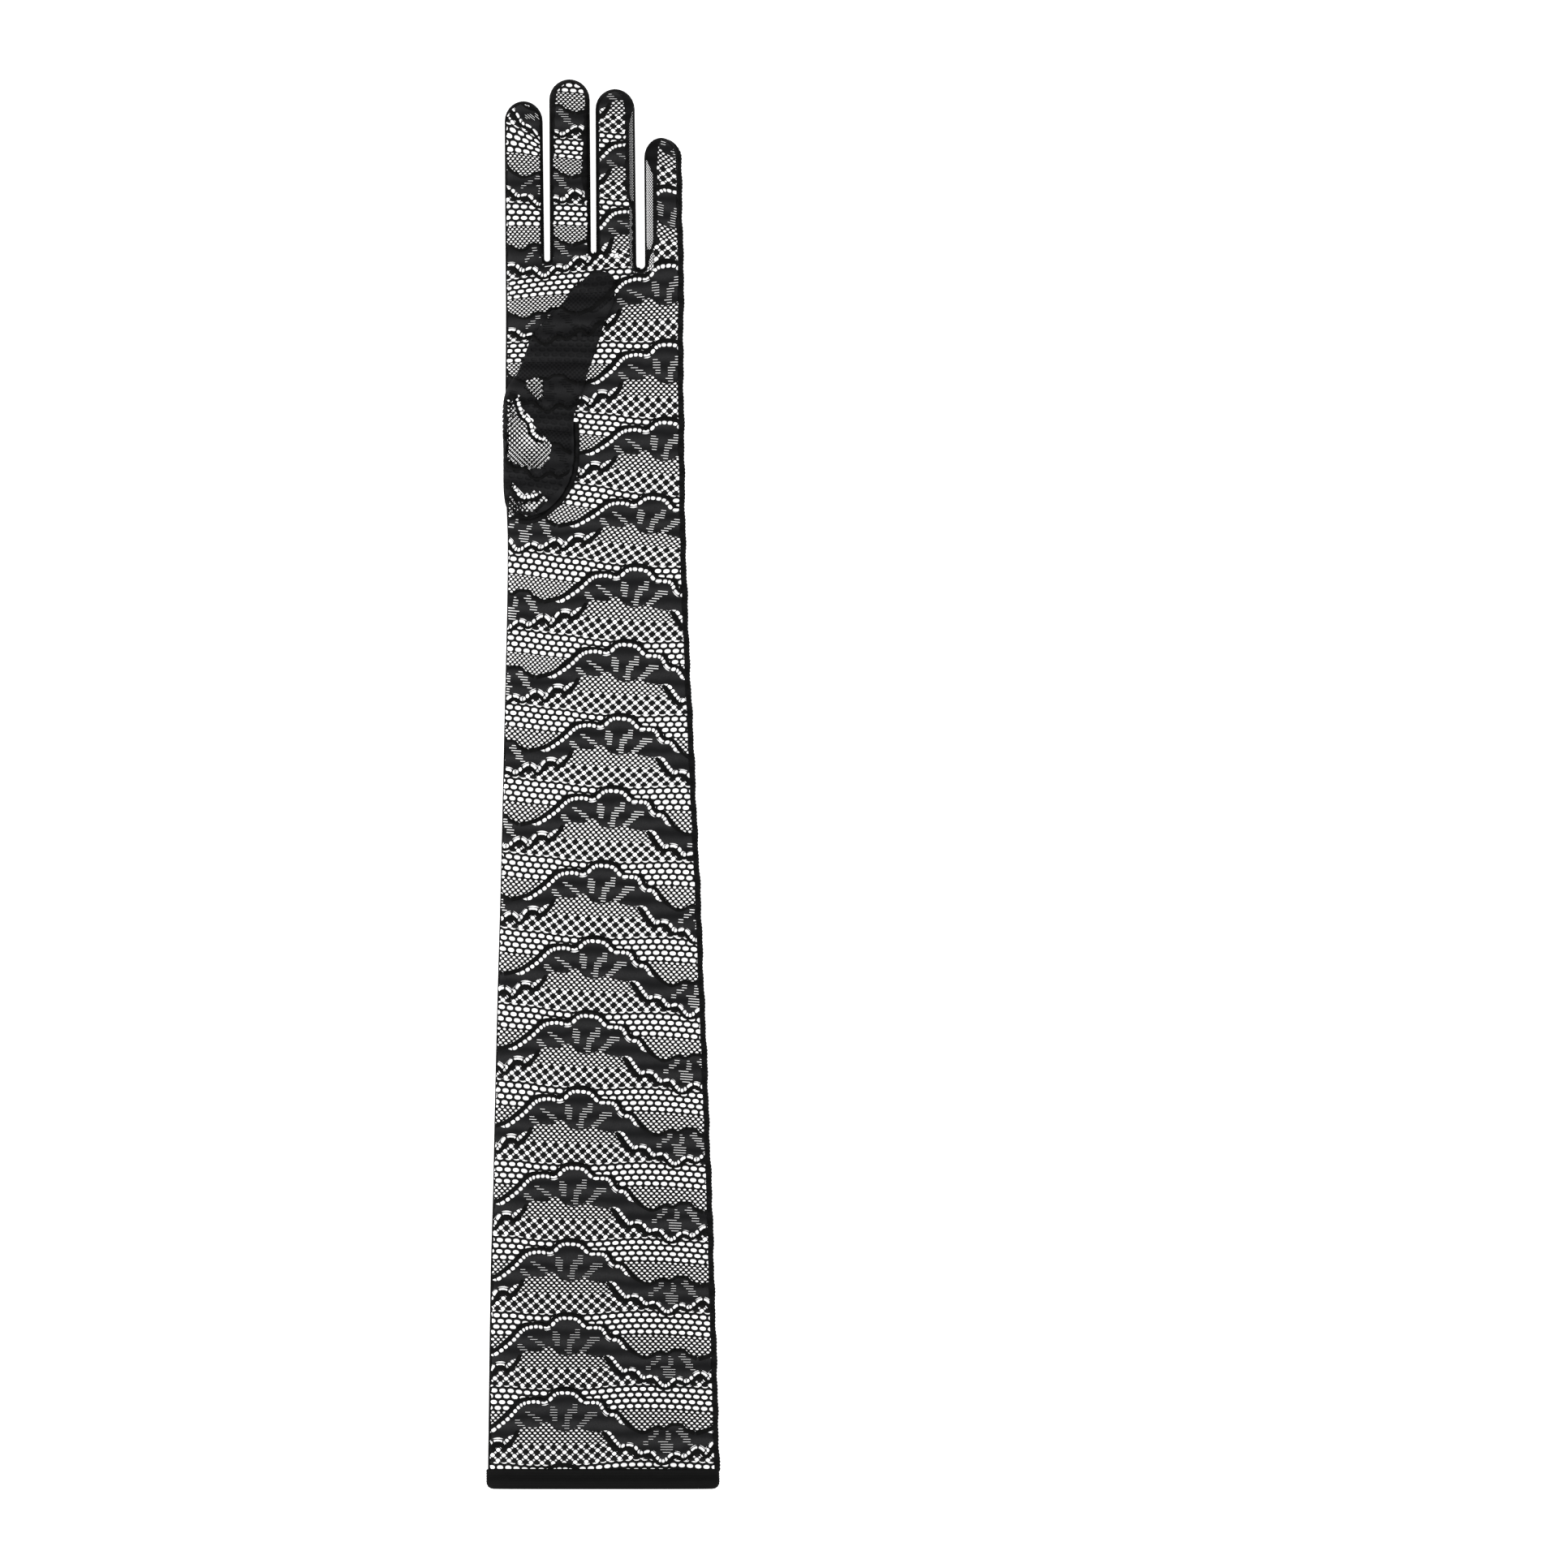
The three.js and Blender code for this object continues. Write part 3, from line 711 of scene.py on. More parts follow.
def dense(points, step=CURVE_STEP):
    """A smooth curve through charted points, as closely spaced points of even length. Any further
    numbers of the charted points are smoothed along with them."""
    points = np.array(points, float)
    ends = np.vstack([2 * points[0] - points[1], points, 2 * points[-1] - points[-2]])
    made = []
    for a, b, c, d in zip(ends[:-3], ends[1:-2], ends[2:-1], ends[3:]):
        t = np.linspace(0, 1, 12, endpoint=False)[:, None]
        turn = 3 * b - 3 * c + d - a
        made.append(b + 0.5 * t * (c - a + t * (2 * a - 5 * b + 4 * c - d + t * turn)))
    curve = np.vstack(made + [points[-1:]])
    length = np.append(0, np.cumsum(np.linalg.norm(np.diff(curve[:, :2], axis=0), axis=1)))
    even = np.linspace(0, length[-1], int(length[-1] / step) + 1)
    return np.stack([np.interp(even, length, column) for column in curve.T], -1)


def unrolled(curve):
    """The same edge over three repeats, so that any s between them can be looked up."""
    return np.vstack([curve[:-1] + [REPEAT * m, 0] for m in (-1, 0, 1)] + [curve[-1:] + [REPEAT, 0]])


upper_curve, upper_cord = np.split(dense(UPPER_EDGE), [2], axis=1)
lower_curve, lower_cord = np.split(dense(LOWER_EDGE), [2], axis=1)
print("cord in one repeat of a garland:", round(len(upper_curve) * CURVE_STEP), "mm above")

# %% [markdown]
# Measuring from an edge
#
# Cord, eyelets and nets all lie at some distance from a garland's edge. These helpers give the edge's
# direction, the stretches of it that have eyelets, the edge moved inwards, and its place at any s.


# %% Distances from an edge
def normals(curve, reach=2):
    """Unit normals of a curve, pointing to its right, smoothed over a few points."""
    curve = curve[:, :2]
    n = len(curve)
    ahead, behind = np.minimum(np.arange(n) + reach, n - 1), np.maximum(np.arange(n) - reach, 0)
    along = curve[ahead] - curve[behind]
    along /= np.linalg.norm(along, axis=1)[:, None]
    return np.stack([-along[:, 1], along[:, 0]], -1)


def has_eyelets(s, span):
    """Whether wrapped s lies in the stretch of an edge that has eyelets."""
    wrapped = (s - span[0]) % REPEAT + span[0]
    return wrapped < span[1]


def offset_edge(curve, s, away, sign):
    """The edge at s after it is moved inwards by a distance that differs along it. sign is +1 for down."""
    far = unrolled(curve)
    gap = s[:, None] - far[None, :, 0]
    reach = np.tile(away, 4)[: len(far)][None]
    inside = np.where(np.abs(gap) < reach, np.sqrt(np.maximum(reach**2 - gap**2, 0)), np.nan)
    moved = far[None, :, 1] + sign * inside
    return np.nanmax(moved, 1) if sign > 0 else np.nanmin(moved, 1)


def edge_at(curve, s):
    far = unrolled(curve)
    return np.interp(s, far[:, 0], far[:, 1])


print("height of a garland under its crest in mm:", round(float(edge_at(lower_curve, 0.0)), 1))

# %% [markdown]
# The nets between the garlands
#
# Three nets fill the ground: a fine one, a chequered one and a honeycomb. Each is a grid of cells with a
# hole in every one. Thin tubes along every thread would be truer still, but far too many faces. Here a cell
# is a ring of faces between its outer corners, which stand a little higher, and the edge of its hole, so
# the strands between holes come out round like thread. The sizes were measured in the photograph: holes of
# the fine net are 2.45 mm apart across and 1.2 mm from row to row, and 3.7 mm and 2.5 mm in the honeycomb.
# The garlands pull on the rows of the net below them, so these rows arch.

# %% Net sizes
STRAND_RISE = 0.28
FINE = {"pitch": 2.45, "row": 1.205, "start": (-0.3, 1.07), "hole": (0.73, 0.55)}
LOW = {"pitch": 2.45, "row": 1.205, "start": (-0.8, 1.16), "hole": (0.73, 0.55)}
LOW_HAND = {"pitch": 2.0, "row": 1.05, "start": (-0.8, 1.16), "hole": (0.62, 0.48)}
CHECK = {"pitch": 2.45, "row": 2.28, "start": (-1.65, -0.91), "hole": (1.04, 0.96), "corner": (0.66, 0.58)}
HONEY = {"pitch": 3.66, "row": 2.5, "start": (-16.6, 1.3), "side": 0.94, "hole": (1.46, 0.95)}
GROUND_ZONES = {"fine": (12.0, 25.3), "check": (25.3, 34.1), "honey": (34.1, 45.05), "low": (45.05, 58.0)}
ARCHING = {
    "s": [-36, -31, -23.5, -18.7, -13.7, -9, -4, 1, 6, 11, 16, 20.5, 26, 31, 42, 54, 62],
    "rise": [1.3, 1.1, 1.0, 0.4, 0.1, 0, 0, 0.1, 0.35, 0.55, 1.1, 1.6, 2.1, 2.35, 2.4, 1.9, 1.3],
}
ARCHING_FROM, ARCHING_SPAN = 22, 6
FIRST_ARM_ROW = 8
UNDER_GARLAND = 0.5
print("holes of the fine net in a square cm:", round(100 / (FINE["pitch"] * FINE["row"])))

# %% [markdown]
# One cell of each net
#
# The fine net's cell is a rhombus, the honeycomb's a flat hexagon and the chequered net's an octagon, every
# other one of them closed by a knot of yarn. The holes are ovals, because the yarn pulls their corners
# round.


# %% Net cells
def ring_cell(outer, hole):
    """Corners, heights and faces of a cell with a hole: the outer corners are raised."""
    n = len(outer)
    corners = np.vstack([outer, hole])
    rise = np.append(np.full(n, STRAND_RISE), np.zeros(n))
    around = (np.arange(n) + 1) % n
    faces = np.stack([np.arange(n), around, around + n, np.arange(n) + n], -1)
    return corners, rise, faces


def oval(half_width, half_height, angles, power=2.0):
    c, s = np.cos(angles), np.sin(angles)
    return np.stack(
        [half_width * np.sign(c) * np.abs(c) ** (2 / power),
         half_height * np.sign(s) * np.abs(s) ** (2 / power)], -1
    )


def rhombus(pitch, row):
    """Eight points round a rhombus: its corners and the middles of its sides."""
    p, r = pitch / 2, row
    return np.array([(p, 0), (p / 2, r / 2), (0, r), (-p / 2, r / 2),
                     (-p, 0), (-p / 2, -r / 2), (0, -r), (p / 2, -r / 2)])


def fine_cell(net):
    return ring_cell(rhombus(net["pitch"], net["row"]), oval(*net["hole"], np.arange(8) * math.pi / 4))


def honey_cell():
    p, a = HONEY["pitch"] / 2, HONEY["side"]
    b = HONEY["row"] - a
    m = (a + b) / 2
    outer = np.array([(p, a), (p / 2, m), (0, b), (-p / 2, m), (-p, a),
                      (-p, -a), (-p / 2, -m), (0, -b), (p / 2, -m), (p, -a)])
    angles = np.radians([22, 58, 90, 122, 158, 202, 238, 270, 302, 338])
    return ring_cell(outer, oval(*HONEY["hole"], angles, 2.2))


def check_outline():
    p, r = CHECK["pitch"] / 2, CHECK["row"] / 2
    cx, cy = CHECK["corner"]
    return np.array([(p, r - cy), (p - cx, r), (-p + cx, r), (-p, r - cy),
                     (-p, -r + cy), (-p + cx, -r), (p - cx, -r), (p, -r + cy)])


def check_open_cell():
    angles = np.radians([22, 68, 112, 158, 202, 248, 292, 338])
    return ring_cell(check_outline(), oval(*CHECK["hole"], angles))


def check_closed_cell():
    """A knot: the same outline, with a raised middle instead of a hole."""
    outline = check_outline()
    corners = np.vstack([outline, outline * 0.45])
    rise = np.append(np.full(8, 0.1), np.full(8, STRAND_RISE + 0.1))
    faces = [(i, (i + 1) % 8, (i + 1) % 8 + 8, i + 8) for i in range(8)]
    faces += [(8, 9, 10, 11), (8, 11, 12, 15), (12, 13, 14, 15)]
    return corners, rise, np.array(faces)


for name, cell in (("fine", fine_cell(FINE)), ("honeycomb", honey_cell()), ("chequered", check_open_cell())):
    print(f"{name} net: {len(cell[2])} faces round a hole")

# %% [markdown]
# The ground between two garlands
#
# A net fills its zone from edge to edge and reaches a little under the garlands, as the knitted net does.
# The fine net above the next garland is a little finer on the hand than on the arm.

# %% Fill the ground
NET_REACH = 96.0


def lattice(net, top, bottom, staggered=True, reach=NET_REACH):
    """Cell middles of a grid between two values of t, and which of two kinds each one is."""
    pitch, row = net["pitch"], net["row"]
    rows = np.arange(math.floor(top / row) - 2, math.ceil(bottom / row) + 2)
    columns = np.arange(-int(reach / pitch), int(reach / pitch) + 1)
    j, i = np.meshgrid(rows, columns, indexing="ij")
    shift = (j % 2) * 0.5 if staggered else 0
    middles = np.stack([(i + shift) * pitch, j * row], -1) + net["start"]
    return middles.reshape(-1, 2), ((i + j) % 2).ravel()


ALL_ROWS = range(-1, LAST_ROW + 1)
HAND_ROWS, ARM_ROWS = range(-1, FIRST_ARM_ROW), range(FIRST_ARM_ROW, LAST_ROW + 1)


def arching(s):
    """How far the rows of the nets rise above a straight course, because the garlands pull on them."""
    wrapped = (s - ARCHING["s"][0]) % REPEAT + ARCHING["s"][0]
    return np.interp(wrapped, ARCHING["s"], ARCHING["rise"])


def net_zone(cell, middles, zone, rows=ALL_ROWS):
    """Cells of one net between two values of t, cut to the zone and to the garlands above and below."""
    corners, rise, faces = cell
    points = middles[:, None] + corners[None]
    t = np.clip(points[..., 1], zone[0], zone[1])
    s = points[..., 0]
    t = t - arching(s) * np.clip((t - ARCHING_FROM) / ARCHING_SPAN, 0, 1)
    above = edge_at(lower_curve, s.ravel()).reshape(s.shape) - UNDER_GARLAND
    below = PITCH + edge_at(upper_curve, s.ravel()).reshape(s.shape) + UNDER_GARLAND
    t = np.clip(t, above, np.maximum(below, above))
    return np.stack([s, t], -1), rise, faces, rows


def ground_nets():
    """Every cell of one ground, between a garland and the next: kinds of cell, each with its rows."""
    parts = []
    for zone, net, rows in (("fine", FINE, ALL_ROWS), ("low", LOW, ARM_ROWS), ("low", LOW_HAND, HAND_ROWS)):
        middles, _ = lattice(net, *GROUND_ZONES[zone])
        parts.append(net_zone(fine_cell(net), middles, GROUND_ZONES[zone], rows))
    middles, kind = lattice(CHECK, *GROUND_ZONES["check"], staggered=False)
    parts.append(net_zone(check_open_cell(), middles[kind == 0], GROUND_ZONES["check"]))
    parts.append(net_zone(check_closed_cell(), middles[kind == 1], GROUND_ZONES["check"]))
    middles, _ = lattice(HONEY, *GROUND_ZONES["honey"])
    parts.append(net_zone(honey_cell(), middles, GROUND_ZONES["honey"]))
    return parts


nets = ground_nets()
print("net cells in one ground:", sum(len(points) for points, *_ in nets))

# %% [markdown]
# The garlands
#
# A garland is knitted densely, in courses that are drawn 1.15 mm apart, coarser than the real ones, so
# that their slits show. It is a sheet of small faces in those courses. Along a slash each course is only
# two thirds as tall, which leaves a stack of narrow slits, as the open stitches do. A picture of slits on a
# closed sheet would be simpler, but no light would come through it.

# %% Garland sheet
COURSE = 1.15
COURSES = 32
WALE = 1.1
SHEET_REACH = 92.0
SLIT_SHARE = 0.68
BELT_MARGIN = 1.5
BELT_OVERLAP = 0.45
UNDER_CORD = 0.25


def in_slash(s, t):
    """Whether a stitch at chart s, t lies in one of the light slashes."""
    wrapped = (s + 30.0) % REPEAT - 30.0
    hit = np.zeros(s.shape, bool)
    uneven = 0.45 * np.sin(t * 2.9) + 0.25 * np.sin(t * 7.1 + 1)
    for s0, t0, s1, t1, width in zip(*(SLASHES[name] for name in ("s0", "t0", "s1", "t1", "width"))):
        low, high = min(t0, t1), max(t0, t1)
        share = np.clip((t - t0) / (t1 - t0), 0, 1)
        middle = s0 + (s1 - s0) * share + uneven
        round_off = np.sqrt(np.clip(1 - (2 * share - 1) ** 4, 0, 1))
        hit |= (t > low) & (t < high) & (np.abs(wrapped - middle) < width / 2 * round_off)
    return hit


def edge_insets(curve, cord, span):
    """How far the dense sheet stays inside each point of an edge: behind the eyelets where there are any."""
    inner_span = (span[0] + BELT_MARGIN, span[1] - BELT_MARGIN)
    behind_belt = cord.ravel() + BELT_WIDTH - BELT_OVERLAP
    return np.where(has_eyelets(curve[:, 0], inner_span), behind_belt, UNDER_CORD)


def garland_sheet():
    """Quads of the dense sheet over the whole width, as cells by four corners by s and t."""
    columns = np.arange(-SHEET_REACH, SHEET_REACH, WALE)
    upper_inset = edge_insets(upper_curve, upper_cord, UPPER_EYELETS)
    lower_inset = edge_insets(lower_curve, lower_cord, LOWER_EYELETS)
    top = offset_edge(upper_curve, columns, upper_inset[:-1], +1)
    bottom = offset_edge(lower_curve, columns, lower_inset[:-1], -1)
    bottom = np.maximum(bottom, top)
    rows = np.arange(COURSES) * COURSE
    i, j = np.meshgrid(np.arange(len(columns) - 1), rows, indexing="ij")
    i, j = i.ravel(), j.ravel()
    slit = in_slash(columns[i] + WALE / 2, j + COURSE / 2)
    depth = np.where(slit, COURSE * SLIT_SHARE, COURSE)
    corners = []
    for side, share in ((0, 0), (1, 0), (1, 1), (0, 1)):
        t = np.clip(j + depth * share, top[i + side], bottom[i + side])
        corners.append(np.stack([columns[i + side], t], -1))
    return np.stack(corners, 1)


sheet = garland_sheet()
print("stitches in one row of garlands:", len(sheet))

# %% [markdown]
# The eyelets
#
# Inside the cord runs a row of small round holes, 2.3 mm apart, and at the crest they are wider, with bars
# between them. They are a belt of ring cells that follows the edge, one hole in each.


# %% Eyelet belts
def eyelet_belt(curve, cord, span, sign, crest_bars=False):
    """Ring cells along an edge, inside its cord, as cells by corners by s and t."""
    s = curve[:, 0]
    length = np.append(0, np.cumsum(np.linalg.norm(np.diff(curve, axis=0), axis=1)))
    inside = np.flatnonzero((s > span[0]) & (s < span[1]))
    start, end = length[inside[0]], length[inside[-1]]
    bars = np.interp(CREST_BARS, s, length) - 0.5 if crest_bars else (end, end)
    stations = []
    along = start
    while along < end:
        stations.append(along)
        along += BAR_PITCH if bars[0] < along < bars[1] else EYELET_PITCH
    stations = np.array(stations)
    out = normals(curve, 4) * sign
    base = np.stack([np.interp(stations, length, curve[:, i]) for i in (0, 1)], -1)
    away = np.stack([np.interp(stations, length, out[:, i]) for i in (0, 1)], -1)
    depth = np.interp(stations, length, cord.ravel())[:, None]
    near = base + away * (depth - UNDER_CORD)
    far = base + away * (depth - UNDER_CORD + BELT_WIDTH)
    angles = np.arange(8) * math.pi / 4
    outline = 0.5 + 0.5 * np.sign(np.round(oval(1, 1, angles), 6))
    hole = 0.5 + 0.5 * oval(0.84, 0.86, angles, 2.4)
    u, w = np.split(np.vstack([outline, hole]), 2, axis=1)
    cells = []
    for k in range(len(stations) - 1):
        by_cord = near[k] * (1 - u) + near[k + 1] * u
        by_sheet = far[k] * (1 - u) + far[k + 1] * u
        cells.append(by_cord * (1 - w) + by_sheet * w)
    return np.array(cells)


def unrolled_cells(cells):
    return np.concatenate([cells + [REPEAT * m, 0] for m in (-1, 0, 1)])


belt_cell = ring_cell(np.zeros((8, 2)), np.zeros((8, 2)))
belts = [
    (unrolled_cells(eyelet_belt(upper_curve, upper_cord, UPPER_EYELETS, +1, True)), *belt_cell[1:], ALL_ROWS),
    (unrolled_cells(eyelet_belt(lower_curve, lower_cord, LOWER_EYELETS, -1)), *belt_cell[1:], ALL_ROWS),
]
quad = np.array([(0, 1, 2, 3)])
garland = [(sheet, np.full(4, 0.3), quad, ALL_ROWS)] + belts
print("eyelets in one repeat:", sum(len(belt[0]) for belt in belts) // 3)

# %% [markdown]
# Laying the lace
#
# Now the chart is repeated row by row, taken from lace coordinates to the glove, cut to the panels and
# lifted. The same cells are laid twice: on the upper side and, straight below, on the underside. The lace
# of the back then hangs exactly under the lace of the palm, so a view from above shows one clear pattern
# with the table shining through, as in a product picture of one layer.


# %% Lay cells over the glove
ONCE = 99


def lay(parts, rows, cut):
    """Places kinds of cell in their rows. Returns points, rises and faces in mm. Cells of the row ONCE are
    laid a single time, where they are."""
    all_points, all_rises, all_faces, count = [], [], [], 0
    for cells, rise, faces, part_rows in parts:
        for k in part_rows if rows is None else sorted(set(part_rows) & set(rows)):
            points = cells if k == ONCE else lace_to_glove(cells[..., 0], k + cells[..., 1] / PITCH)
            points = cut(points)
            if not len(points):
                continue
            n = points.shape[1]
            all_points.append(points.reshape(-1, 2))
            all_rises.append(np.tile(rise, len(points)))
            starts = count + np.arange(len(points)) * n
            all_faces.append((starts[:, None, None] + faces[None]).reshape(-1, 4))
            count += len(points) * n
    return np.vstack(all_points), np.concatenate(all_rises), np.vstack(all_faces)


def lifting(height, lift, sign=1):
    """A function that lifts flat cells onto a surface. Their rises stand up, or down if sign is -1."""

    def lifted(flat, rise):
        z = height(flat[:, 0], flat[:, 1]) + lift + sign * rise
        return np.column_stack([flat, np.maximum(z, ABOVE_TABLE)])

    return lifted


UPPER_LIFT = 0.15
LOWER_LIFT = 0.35
lift_upper = lifting(upper_height, UPPER_LIFT)
lift_lower = lifting(lower_height, LOWER_LIFT, -1)


def fabric(name, parts, lift, material, rows=None, cut=cut_to_glove):
    """One piece of lace: cells laid in rows, cut, joined and lifted onto the glove."""
    flat, rise, faces = lay(parts, rows, cut)
    points, faces = joined(np.column_stack([flat, rise]), faces)
    faces = with_area(points * [1, 1, 0], faces)
    return mesh_object(name, lift(points[:, :2], points[:, 2]), faces, material)


print("the lace stands off its form in mm:", UPPER_LIFT, "above and", LOWER_LIFT, "below")

# %% [markdown]
# Openings at the thumb
#
# The thumb comes out of an oval hole in the palm, so the palm's lace is left out there. Light comes through
# the folded thumb in three places only: a patch above its base and two fields at its left edge. They are
# drawn as outlines in millimetres, with two lengths of cord and their eyelets. The lace of the back is left
# open below them and gets a plain net of its own. Each opening is a rule that asks where a cell's middle
# lies, which keeps the cells at its edge whole, where a boolean cut would slice through them.

# %% The thumb's hole and windows
THUMB_WINDOWS = [
    [(-33.8, 178.5), (-29.5, 180), (-26.6, 178.6), (-26.4, 172), (-27.6, 168.8), (-31.5, 172),
     (-34.4, 174.5)],
    [(-43, 170), (-39.6, 169.7), (-37.5, 164.2), (-34.6, 160.9), (-32.2, 157.5), (-30.5, 154.5), (-27, 152),
     (-23.5, 153), (-22.5, 149), (-24, 144), (-28, 139.5), (-34, 139.6), (-38, 141), (-43, 143)],
    [(-42, 127.5), (-38.5, 125.5), (-35, 123.8), (-30, 125), (-26, 127.5), (-24.5, 126), (-30, 120.8),
     (-38, 119.8), (-42, 121)],
]
THUMB_CORDS = [
    [(-40.6, 170.5), (-39.3, 167.5), (-37.3, 162.0), (-34.0, 158.9), (-33.0, 154.6), (-30.0, 151.6),
     (-25.8, 150.2)],
    [(-41.8, 131.5), (-39.6, 127.6), (-36.0, 124.6), (-32.6, 124.8), (-29.4, 125.6), (-26.6, 128.0)],
]
THUMB_HOLE = {"x": -29.5, "y": 150.0, "half_wide": 12.5, "half_long": 30.0}
BELT_FROM_CORD = 0.8


def inside(outline, x, y):
    """Whether points lie inside an outline, counting how often a line to the left crosses it."""
    corners = np.array(outline, float)
    hit = np.zeros(x.shape, bool)
    for (x0, y0), (x1, y1) in zip(corners, np.roll(corners, -1, 0)):
        if y0 == y1:
            continue
        crosses = (y > min(y0, y1)) & (y <= max(y0, y1))
        hit ^= crosses & (x > x0 + (y - y0) * (x1 - x0) / (y1 - y0))
    return hit


def in_window(x, y):
    return np.any([inside(outline, x, y) for outline in THUMB_WINDOWS], axis=0)


def in_belt(x, y):
    """Whether points lie where a row of eyelets runs inside one of the thumb's cords."""
    hit = np.zeros(x.shape, bool)
    for cord in THUMB_CORDS:
        curve = dense(cord)
        out = normals(curve)
        far = curve + out * (CORD_WIDTH + BELT_WIDTH - UNDER_CORD)
        hit |= inside(np.vstack([curve + out * BELT_FROM_CORD, far[::-1]]), x, y)
    return hit


def outside_openings(x, y):
    return ~(in_window(x, y) | in_belt(x, y))


def outside_hole(x, y):
    across = (x - THUMB_HOLE["x"]) / THUMB_HOLE["half_wide"]
    along = (y - THUMB_HOLE["y"]) / THUMB_HOLE["half_long"]
    return across**2 + along**2 > 1


def cut_by(cut, rule):
    """A cut that also drops the cells whose middle a rule doesn't allow."""

    def cut_further(points):
        points = cut(points)
        return points[rule(*points.mean(1).T)]

    return cut_further


cut_to_back = cut_by(cut_to_glove, outside_openings)
cut_to_palm = cut_by(cut_to_glove, outside_hole)
print("thumb hole in mm:", 2 * THUMB_HOLE["half_wide"], "by", 2 * THUMB_HOLE["half_long"])

# %% [markdown]
# The lace of the sleeve, hand and fingers
#
# On the real glove this is one piece of lace, folded at the index finger's side. It becomes six objects,
# nets, garlands and cords for the palm and for the back, because each of the three has a finish of its own.

# %% Nets and garlands
trank_pieces = [
    fabric("lace_net_palm", nets, lift_upper, net_thread, cut=cut_to_palm),
    fabric("lace_net_back", nets, lift_lower, net_thread, cut=cut_to_back),
    fabric("lace_garlands_palm", garland, lift_upper, dense_lace, cut=cut_to_palm),
    fabric("lace_garlands_back", garland, lift_lower, dense_lace, cut=cut_to_back),
]

# %% [markdown]
# The outline cords
#
# The cord is a thicker yarn that the machine lays along the edge of a garland. It stands up from the lace,
# so it is a low arched strip of its own that follows the same charted edge. Its profile is given as
# shares of its width across and as heights in millimetres.

# %% Outline cords
CORD_PROFILE = np.array([(-0.5, 0.0), (-0.32, 0.36), (0.0, 0.5), (0.32, 0.36), (0.5, 0.0)])


def cord_cells(curve, width, sign, first_s=-99.0):
    """Short lengths of cord along an edge, as cells by corners."""
    kept = curve[:, 0] > first_s
    curve, width = curve[kept][::2], width.ravel()[kept][::2]
    out = normals(curve, 1) * sign
    across = (0.5 + CORD_PROFILE[None, :, 0]) * width[:, None]
    strips = curve[:, None] + out[:, None] * across[..., None]
    here, there = strips[:-1], strips[1:]
    return np.concatenate([here, there], 1)


def cord_faces():
    n = len(CORD_PROFILE)
    return np.array([(i, i + 1, i + 1 + n, i + n) for i in range(n - 1)])


cord_rise = np.tile(CORD_PROFILE[:, 1] + 0.3, 2)
cords = [
    (unrolled_cells(cord_cells(upper_curve, upper_cord, +1)), cord_rise, cord_faces(), ALL_ROWS),
    (unrolled_cells(cord_cells(lower_curve, lower_cord, -1, 16.5)), cord_rise, cord_faces(), ALL_ROWS),
]
trank_pieces += [
    fabric("lace_cords_palm", cords, lift_upper, cord_yarn, cut=cut_to_palm),
    fabric("lace_cords_back", cords, lift_lower, cord_yarn, cut=cut_to_back),
]
for piece in trank_pieces:
    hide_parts("lace_trank")

# %% [markdown]
# The edges of the fingers
#
# Between two fingers the palm and the back are joined by a forked strip of sheer tulle, and both are
# sewn to it with an overlock seam. From above, the seams are dark bands along the edges of the fingers,
# and the tulle shows beside the ring and little fingers, where it rolls up over the edge. A path runs
# down one finger, round the crotch and up the next, and the seams and the tulle are wrapped over it.

# %% Paths along the finger edges
# Stations along an edge are 0.9 mm apart, and round a fingertip they are angles of its ellipse. Round a
# crotch there is no distance from a tip, so a large number stands for it.
FORKS = [(n, n + 1, float(y)) for n, y in enumerate(CROTCHES["y"])]
CAP_STATIONS = np.radians([89.4, 87, 82, 74, 64, 53, 41, 28, 14])
STATION = 0.9
AT_CROTCH = 99.0

# A seam bulges out beyond its edge, and this is how far in from the edge the bulge fades.
CURL = 0.5


def edge_of(n, side, y):
    left, right, _, _ = finger_section(n, y)
    return left if side == "left" else right


def fork_path(a, b, crotch):
    """The edge from one finger's tip down, round a crotch and up to the next finger's tip.
    Gives points, directions into the cloth, the finger and side of each point, and distance from a tip."""
    gap = edge_of(b, "left", crotch) - edge_of(a, "right", crotch)
    centre_y, radius = crotch + gap / 2, gap / 2
    centre_x = edge_of(a, "right", crotch) + radius
    sides = []
    for n, side, into in ((a, "right", -1.0), (b, "left", 1.0)):
        tip = FINGERS["tip"][n]
        start = tip - TIP_LENGTH
        ys = np.append(start + TIP_LENGTH * np.sin(CAP_STATIONS), np.arange(start, centre_y + 0.4, -STATION))
        points = np.stack([edge_of(n, side, ys), ys], -1)
        sides.append((points, np.tile([into, 0.0], (len(ys), 1)), np.full(len(ys), n), tip - ys))
    turn = np.linspace(math.pi, 2 * math.pi, 11)
    out = np.stack([np.cos(turn), np.sin(turn)], -1)
    round_crotch = np.array([centre_x, centre_y]) + radius * out
    arc = (round_crotch, out, np.where(turn < 1.5 * math.pi, a, b), np.full(len(turn), AT_CROTCH))
    down, up = sides[0], [part[::-1] for part in sides[1]]
    return [np.concatenate(parts) for parts in zip(down, arc, up)]


def on_surface(edge, into, away, side, lift, push=None):
    """Points on the upper (side 1) or lower (side -1) surface at distances in from an edge. The cloth is
    as thick as its lift, so it stands out beyond the edge by that much, times the push."""
    push = np.ones(len(edge)) if push is None else push
    flat = edge[:, None] + into[:, None] * np.maximum(away, 0.03)[..., None]
    x, y = flat[..., 0], flat[..., 1]
    z = upper_height(x, y) + lift if side > 0 else np.maximum(lower_height(x, y) - lift, ABOVE_TABLE)
    flat = flat - into[:, None] * (lift * push[:, None] * np.exp(-away / CURL))[..., None]
    return np.dstack([flat, z])


def half_width(n, y):
    left, right, _, _ = finger_section(n, y)
    return (right - left) / 2


